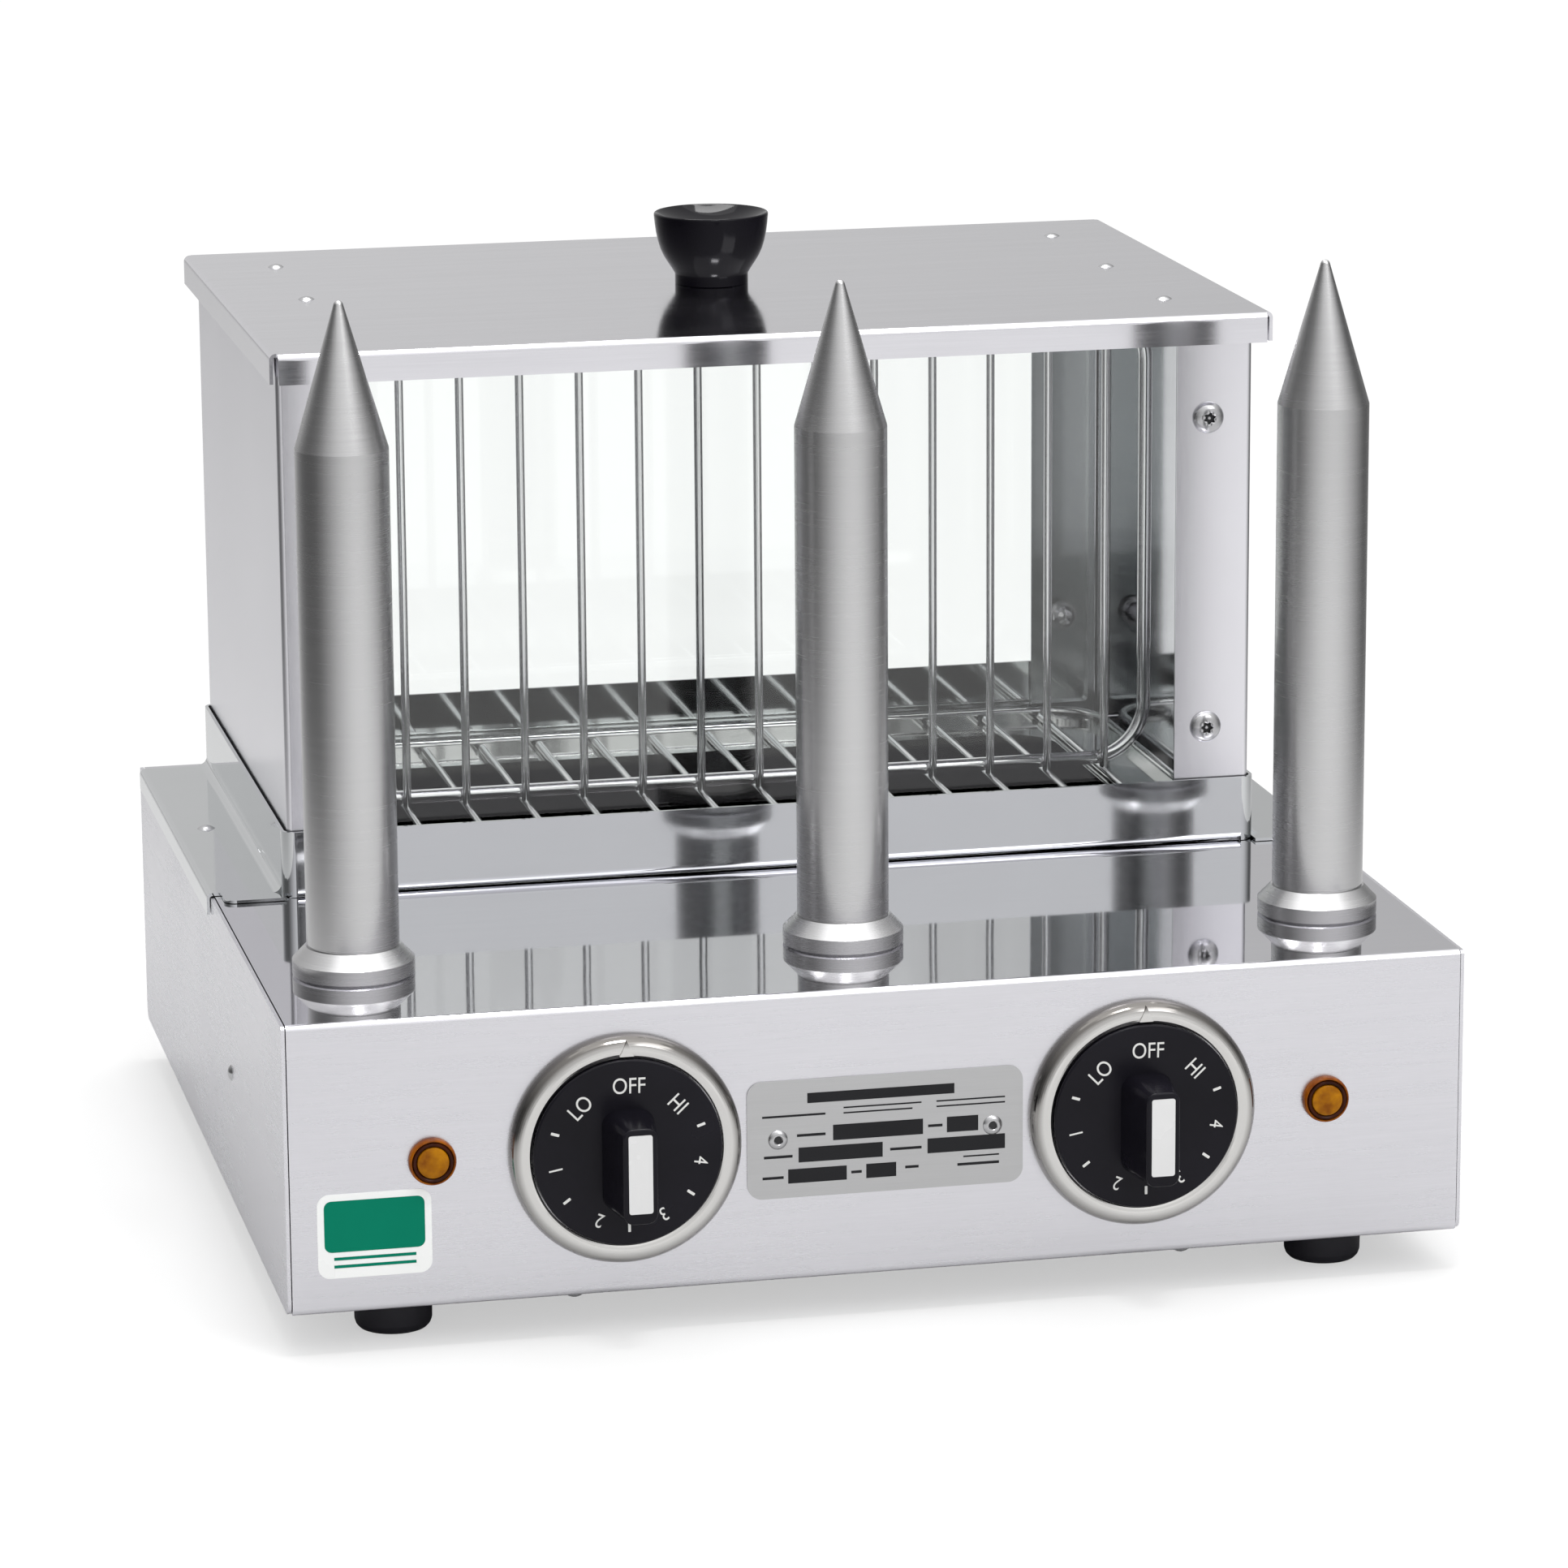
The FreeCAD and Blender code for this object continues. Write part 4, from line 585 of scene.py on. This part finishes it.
def cabinet_screws():
    """Eight glass screws, four on the front flanges and four on the rear ones, with a near-black disc of
    painted shade at the bottom of each recess.
    """
    low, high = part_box("glass_screws")
    panel_low, panel_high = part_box("hood_right_panel")
    half_x = high.x - SCREW_HEAD
    rows = (low.z + SCREW_HEAD, high.z - SCREW_HEAD)
    heads, sockets = bmesh.new(), bmesh.new()
    turn = 0
    for outward, y in ((-1, panel_low.y), (1, panel_high.y)):
        for side in (-1, 1):
            for z in rows:
                spin = Matrix.Rotation(math.radians(11 + 23 * turn), 4, "Z")
                place = front_place((side * half_x, y, z), outward) @ spin
                lobed_head(heads, place)
                # painted shade: a near-black disc sits at the bottom of each recess
                floor = lobes(1.74, 0.17)
                add_rings(sockets, in_mm([(0, 1.2), (floor, 1.2), (floor, 1.05), (0, 1.05)]), place)
                turn += 1
    new_piece("cabinet_screws", mesh_from(heads, "cabinet_screws"), "fastener", "hood",
              ("glass_screws",))
    new_piece("screw_recess_shade", mesh_from(sockets, "screw_recess_shade"), "socket", "hood")


def plate_rivet_heads():
    """Two blind rivets on the plate: rolled heads with the broken mandrel deep in the hole, coloured near
    black as painted shade.
    """
    low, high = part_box("plate_rivets")
    height = (low.z + high.z) / 2
    heads, stubs = bmesh.new(), bmesh.new()
    for x in (low.x + RIVET_HEAD, high.x - RIVET_HEAD):
        place = front_place((x, low.y + RIVET_RISE, height), -1)
        add_rings(heads, in_mm([(0, 0.2), (1.3, 0.2), (1.35, 0.85), (1.55, 1.05), (1.95, 1.02), (2.5, 0.75),
                                (3.0, 0.4), (3.25, 0.12), (3.3, 0.0), (0, 0.0)]), place)
        add_rings(stubs, in_mm([(0, 0.45), (0.5, 0.42), (1.25, 0.3), (1.25, 0.21), (0, 0.21)]), place)
    new_piece("plate_rivet_heads", mesh_from(heads, "plate_rivet_heads"), "fastener", "base",
              ("plate_rivets",))
    # painted shade: the mandrels take the near-black recess colour for the shade in the holes
    new_piece("rivet_mandrels", mesh_from(stubs, "rivet_mandrels"), "socket", "base")


# ---- lid knob -----------------------------------------------------------------------------------
KNOB_PROFILE = (
    (0, 0), (12.7, 0), (13.0, 0.3), (13.0, 3.5), (13.15, 4.0), (14.2, 5.7), (15.6, 7.8), (17.0, 10.1),
    (18.2, 12.8), (19.0, 15.6), (19.6, 18.6), (20.0, 21.6), (20.25, 24.2), (20.25, 24.9), (20.05, 25.25),
    (19.75, 25.4))             # radius and height in mm, from the foot to the rim
DISH_RIM = 19.5
DISH_TOP = 25.3
DISH_DEPTH = 6.2
DISH_STEPS = 40


def bowl_knob():
    """Round-bellied knob with a finger dish."""
    low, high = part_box("lid_knob")
    centre = (low + high) / 2
    bm = bmesh.new()
    dish = []
    for step in range(DISH_STEPS + 1):
        reach = 1 - step / DISH_STEPS
        dish.append((DISH_RIM * reach, DISH_TOP - DISH_DEPTH * (1 - reach * reach)))
    add_rings(bm, in_mm(KNOB_PROFILE + tuple(dish)), Matrix.Translation((centre.x, centre.y, low.z)), 160)
    new_piece("bowl_knob", mesh_from(bm, "bowl_knob"), "gloss_black", "lid", ("lid_knob",))


# ---- printed plate and label --------------------------------------------------------------------
PLATE_BARS = (
    # left, right, centre height and half height of each blank field, from the plate's middle
    (-17.5, 12.5, 1.2, 2.6), (20.5, 31.0, 1.2, 2.6), (-29.0, -1.0, -5.6, 2.5), (14.0, 40.0, -5.6, 2.5),
    (-32.5, -13.0, -12.6, 2.4), (-6.5, 3.5, -12.6, 2.4))
PLATE_RULES = (
    # fine lines where small print stands on such plates
    (-26.0, 23.0, 13.4, 1.7), (-41.0, -20.0, 7.8, 0.35), (-14.0, 12.0, 9.4, 0.25), (-14.0, 9.0, 7.6, 0.25),
    (17.0, 40.0, 9.4, 0.25), (17.0, 40.0, 7.6, 0.25), (-29.5, -20.0, 1.0, 0.45), (14.2, 19.0, 1.2, 0.45),
    (-40.5, -31.0, -5.8, 0.45), (1.5, 12.0, -5.8, 0.45), (-41.0, -34.0, -12.8, 0.45),
    (-11.5, -8.0, -12.6, 0.45), (6.5, 11.0, -12.2, 0.45), (24.0, 38.0, -12.6, 0.45),
    (26.0, 38.0, -10.0, 0.25))


def plate_print():
    """Blank dark fields on the rating plate, with fine rules in place of its small print."""
    low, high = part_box("rating_plate")
    centre = (low + high) / 2
    place = front_place((centre.x, low.y - PRINT_LIFT, centre.z), -1)
    for name, bars in (("plate_fields", PLATE_BARS), ("plate_rules", PLATE_RULES)):
        bm = bmesh.new()
        for left, right, height, half in bars:
            across = (left * MM, right * MM)
            add_slab(bm, place, across, ((height - half) * MM, (height + half) * MM), PRINT_DEPTH)
        new_piece(name, mesh_from(bm, name), "ink_black", "base")


LABEL_MARGIN = 2.2 * MM


def label_print():
    """Plain green block on the sticker, with two rules under it."""
    low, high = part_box("info_label")
    centre = (low + high) / 2
    place = front_place((centre.x, low.y - PRINT_LIFT, centre.z), -1)
    half_x = (high.x - low.x) / 2 - LABEL_MARGIN
    half_z = (high.z - low.z) / 2 - LABEL_MARGIN
    bm = bmesh.new()
    add_slab(bm, place, (-half_x, half_x), (-half_z + 6.5 * MM, half_z), PRINT_DEPTH, 2.4 * MM)
    new_piece("label_band", mesh_from(bm, "label_band"), "ink_green", "base")
    bm = bmesh.new()
    for row in (0.0, 2.6):
        add_slab(bm, place, (-half_x + 3 * MM, half_x - 3 * MM),
                 (-half_z + (1.2 + row) * MM, -half_z + (2.2 + row) * MM), PRINT_DEPTH)
    new_piece("label_rules", mesh_from(bm, "label_rules"), "ink_green", "base")


for side in ("left", "right"):
    dial_print(side)
    pilot_lamp(side)
cabinet_screws()
plate_rivet_heads()
bowl_knob()
plate_print()
label_print()


# ---- floor, light and camera ----------------------------------------------------------------------
FLOOR_HALF = 14.0              # metres from the middle to an edge


def studio_floor():
    """Pale floor that fades into the white surround; where it is mirrored, its colour is painted room light
    that dims towards the sides of the room.
    """
    size = FLOOR_HALF
    mesh = bpy.data.meshes.new("floor")
    corners = [(-size, -size, 0), (size, -size, 0), (size, size, 0), (-size, size, 0)]
    mesh.from_pydata(corners, [], [(0, 1, 2, 3)])
    floor = bpy.data.objects.new("floor", mesh)
    scene.collection.objects.link(floor)
    s = Shader("floor_white")
    length = s.add("ShaderNodeVectorMath", operation="LENGTH")
    s.link(s.coords, length.inputs[0])
    unit = s.add("ShaderNodeVectorMath", operation="NORMALIZE")
    s.link(s.coords, unit.inputs[0])
    distance = length.outputs["Value"]
    far = s.span(distance, 0.0, 1.0, 0.45, 0.95)
    # painted room light: the floor's colour follows the room's brightness in each direction
    room = s.math("MULTIPLY", room_light(s, unit.outputs["Vector"]), 0.85)
    shade = s.blend(far, (0.64, 0.64, 0.64), grey(s, room))
    seen = direct_sight(s)
    s.set(Base_Color=s.blend(seen, shade, (0.96, 0.96, 0.96)), Roughness=0.9, Specular_IOR_Level=0.0)
    clear = s.add("ShaderNodeBsdfTransparent")
    mix = s.add("ShaderNodeMixShader")
    s.link(s.math("MULTIPLY", seen, s.span(distance, 0.50, 1.0, 0.28, 0.62)), mix.inputs[0])
    s.link(s.bsdf.outputs[0], mix.inputs[1])
    s.link(clear.outputs[0], mix.inputs[2])
    s.link(mix.outputs[0], s.out.inputs["Surface"])
    mesh.materials.append(s.mat)


def direct_sight(s):
    """1 for what is seen straight or through glass, 0 for what lights or is mirrored."""
    path = s.add("ShaderNodeLightPath")
    through = s.math("MULTIPLY", path.outputs["Is Transmission Ray"],
                     s.math("LESS_THAN", path.outputs["Glossy Depth"], 0.5))
    return s.math("MAXIMUM", path.outputs["Is Camera Ray"], through)


def grey(s, value):
    node = s.add("ShaderNodeCombineColor")
    for socket in node.inputs:
        s.link(value, socket)
    return node.outputs[0]


FRONT_LIGHT = (math.sin(math.radians(13)), -math.cos(math.radians(13)), 0.0)
BACK_LIGHT = (-math.sin(math.radians(4)), math.cos(math.radians(4)), 0.0)
ROOM_LOBES = ((FRONT_LIGHT, 1.5, 0.78), (BACK_LIGHT, 3.2, 0.58))     # direction, sharpness, brightness
ROOM_DIM = 0.12                # brightness where neither lobe reaches


def room_light(s, direction):
    """Brightness of the room in a direction: bright ahead and behind, dim at the sides."""
    total = ROOM_DIM
    for lobe, power, strength in ROOM_LOBES:
        dot = s.add("ShaderNodeVectorMath", operation="DOT_PRODUCT")
        s.link(direction, dot.inputs[0])
        dot.inputs[1].default_value = lobe
        positive = s.math("MAXIMUM", dot.outputs["Value"], 0.0)
        total = s.math("ADD", s.math("MULTIPLY", s.math("POWER", positive, power), strength), total)
    return total


class WorldShader(Shader):
    """The same short calls on the world's tree."""

    def __init__(self):
        self.world = bpy.data.worlds.new("studio")
        self.world.use_nodes = True
        self.tree = self.world.node_tree
        self.out = self.tree.nodes["World Output"]
        self.coords = self.add("ShaderNodeTexCoord").outputs["Generated"]


def studio_world():
    s = WorldShader()
    scene.world = s.world
    separate = s.add("ShaderNodeSeparateXYZ")
    s.link(s.coords, separate.inputs[0])
    above = s.span(separate.outputs["Z"], 0.0, 0.8, 0.25, 0.85)
    room = s.math("ADD", room_light(s, s.coords), above)
    background = s.tree.nodes["Background"]
    s.link(grey(s, room), background.inputs["Color"])
    seen = s.add("ShaderNodeBackground")
    seen.inputs["Color"].default_value = (1, 1, 1, 1)
    seen.inputs["Strength"].default_value = 1.02
    mix = s.add("ShaderNodeMixShader")
    s.link(direct_sight(s), mix.inputs[0])
    s.link(background.outputs[0], mix.inputs[1])
    s.link(seen.outputs[0], mix.inputs[2])
    s.link(mix.outputs[0], s.out.inputs["Surface"])


SOFTBOXES = (
    # name, place, aim, size and power
    ("overhead", (0.2, -0.1, 2.1), (0, 0, 0.1), (2.6, 2.4), 15.0),
    ("key", (0.03, 0.80, 1.9), (0, 0, 0.2), (0.9, 0.3), 8.0),
    ("front_high", (0.02, -0.78, 1.9), (0, 0, 0.2), (0.36, 0.16), 6.0),
    ("front_right", (1.1, -1.9, 1.85), (0, 0, 0.15), (1.2, 0.9), 8.0))


def softbox(name, place, target, size, power):
    light = bpy.data.lights.new(name, "AREA")
    light.shape = "RECTANGLE"
    light.size, light.size_y = size
    light.energy = power
    holder = bpy.data.objects.new(name, light)
    holder.location = place
    holder.rotation_euler = (Vector(target) - Vector(place)).to_track_quat("-Z", "Y").to_euler()
    scene.collection.objects.link(holder)


CAMERA_PLACE = (-0.4572, -2.1026, 0.6537)
CAMERA_YAW = math.radians(12.43)
CAMERA_PITCH = math.radians(13.48)
CAMERA_ROLL = -0.0069
CAMERA_LENS = 145.74


def photograph_camera():
    data = bpy.data.cameras.new("camera")
    data.lens = CAMERA_LENS
    data.sensor_width = 36.0
    holder = bpy.data.objects.new("camera", data)
    turn = (Matrix.Rotation(-CAMERA_YAW, 4, "Z") @ Matrix.Rotation(HALF_PI - CAMERA_PITCH, 4, "X")
            @ Matrix.Rotation(CAMERA_ROLL, 4, "Z"))
    holder.matrix_world = Matrix.Translation(CAMERA_PLACE) @ turn
    scene.collection.objects.link(holder)
    scene.camera = holder


studio_floor()
studio_world()
for setting in SOFTBOXES:
    softbox(*setting)
photograph_camera()
scene.view_settings.view_transform = "Standard"
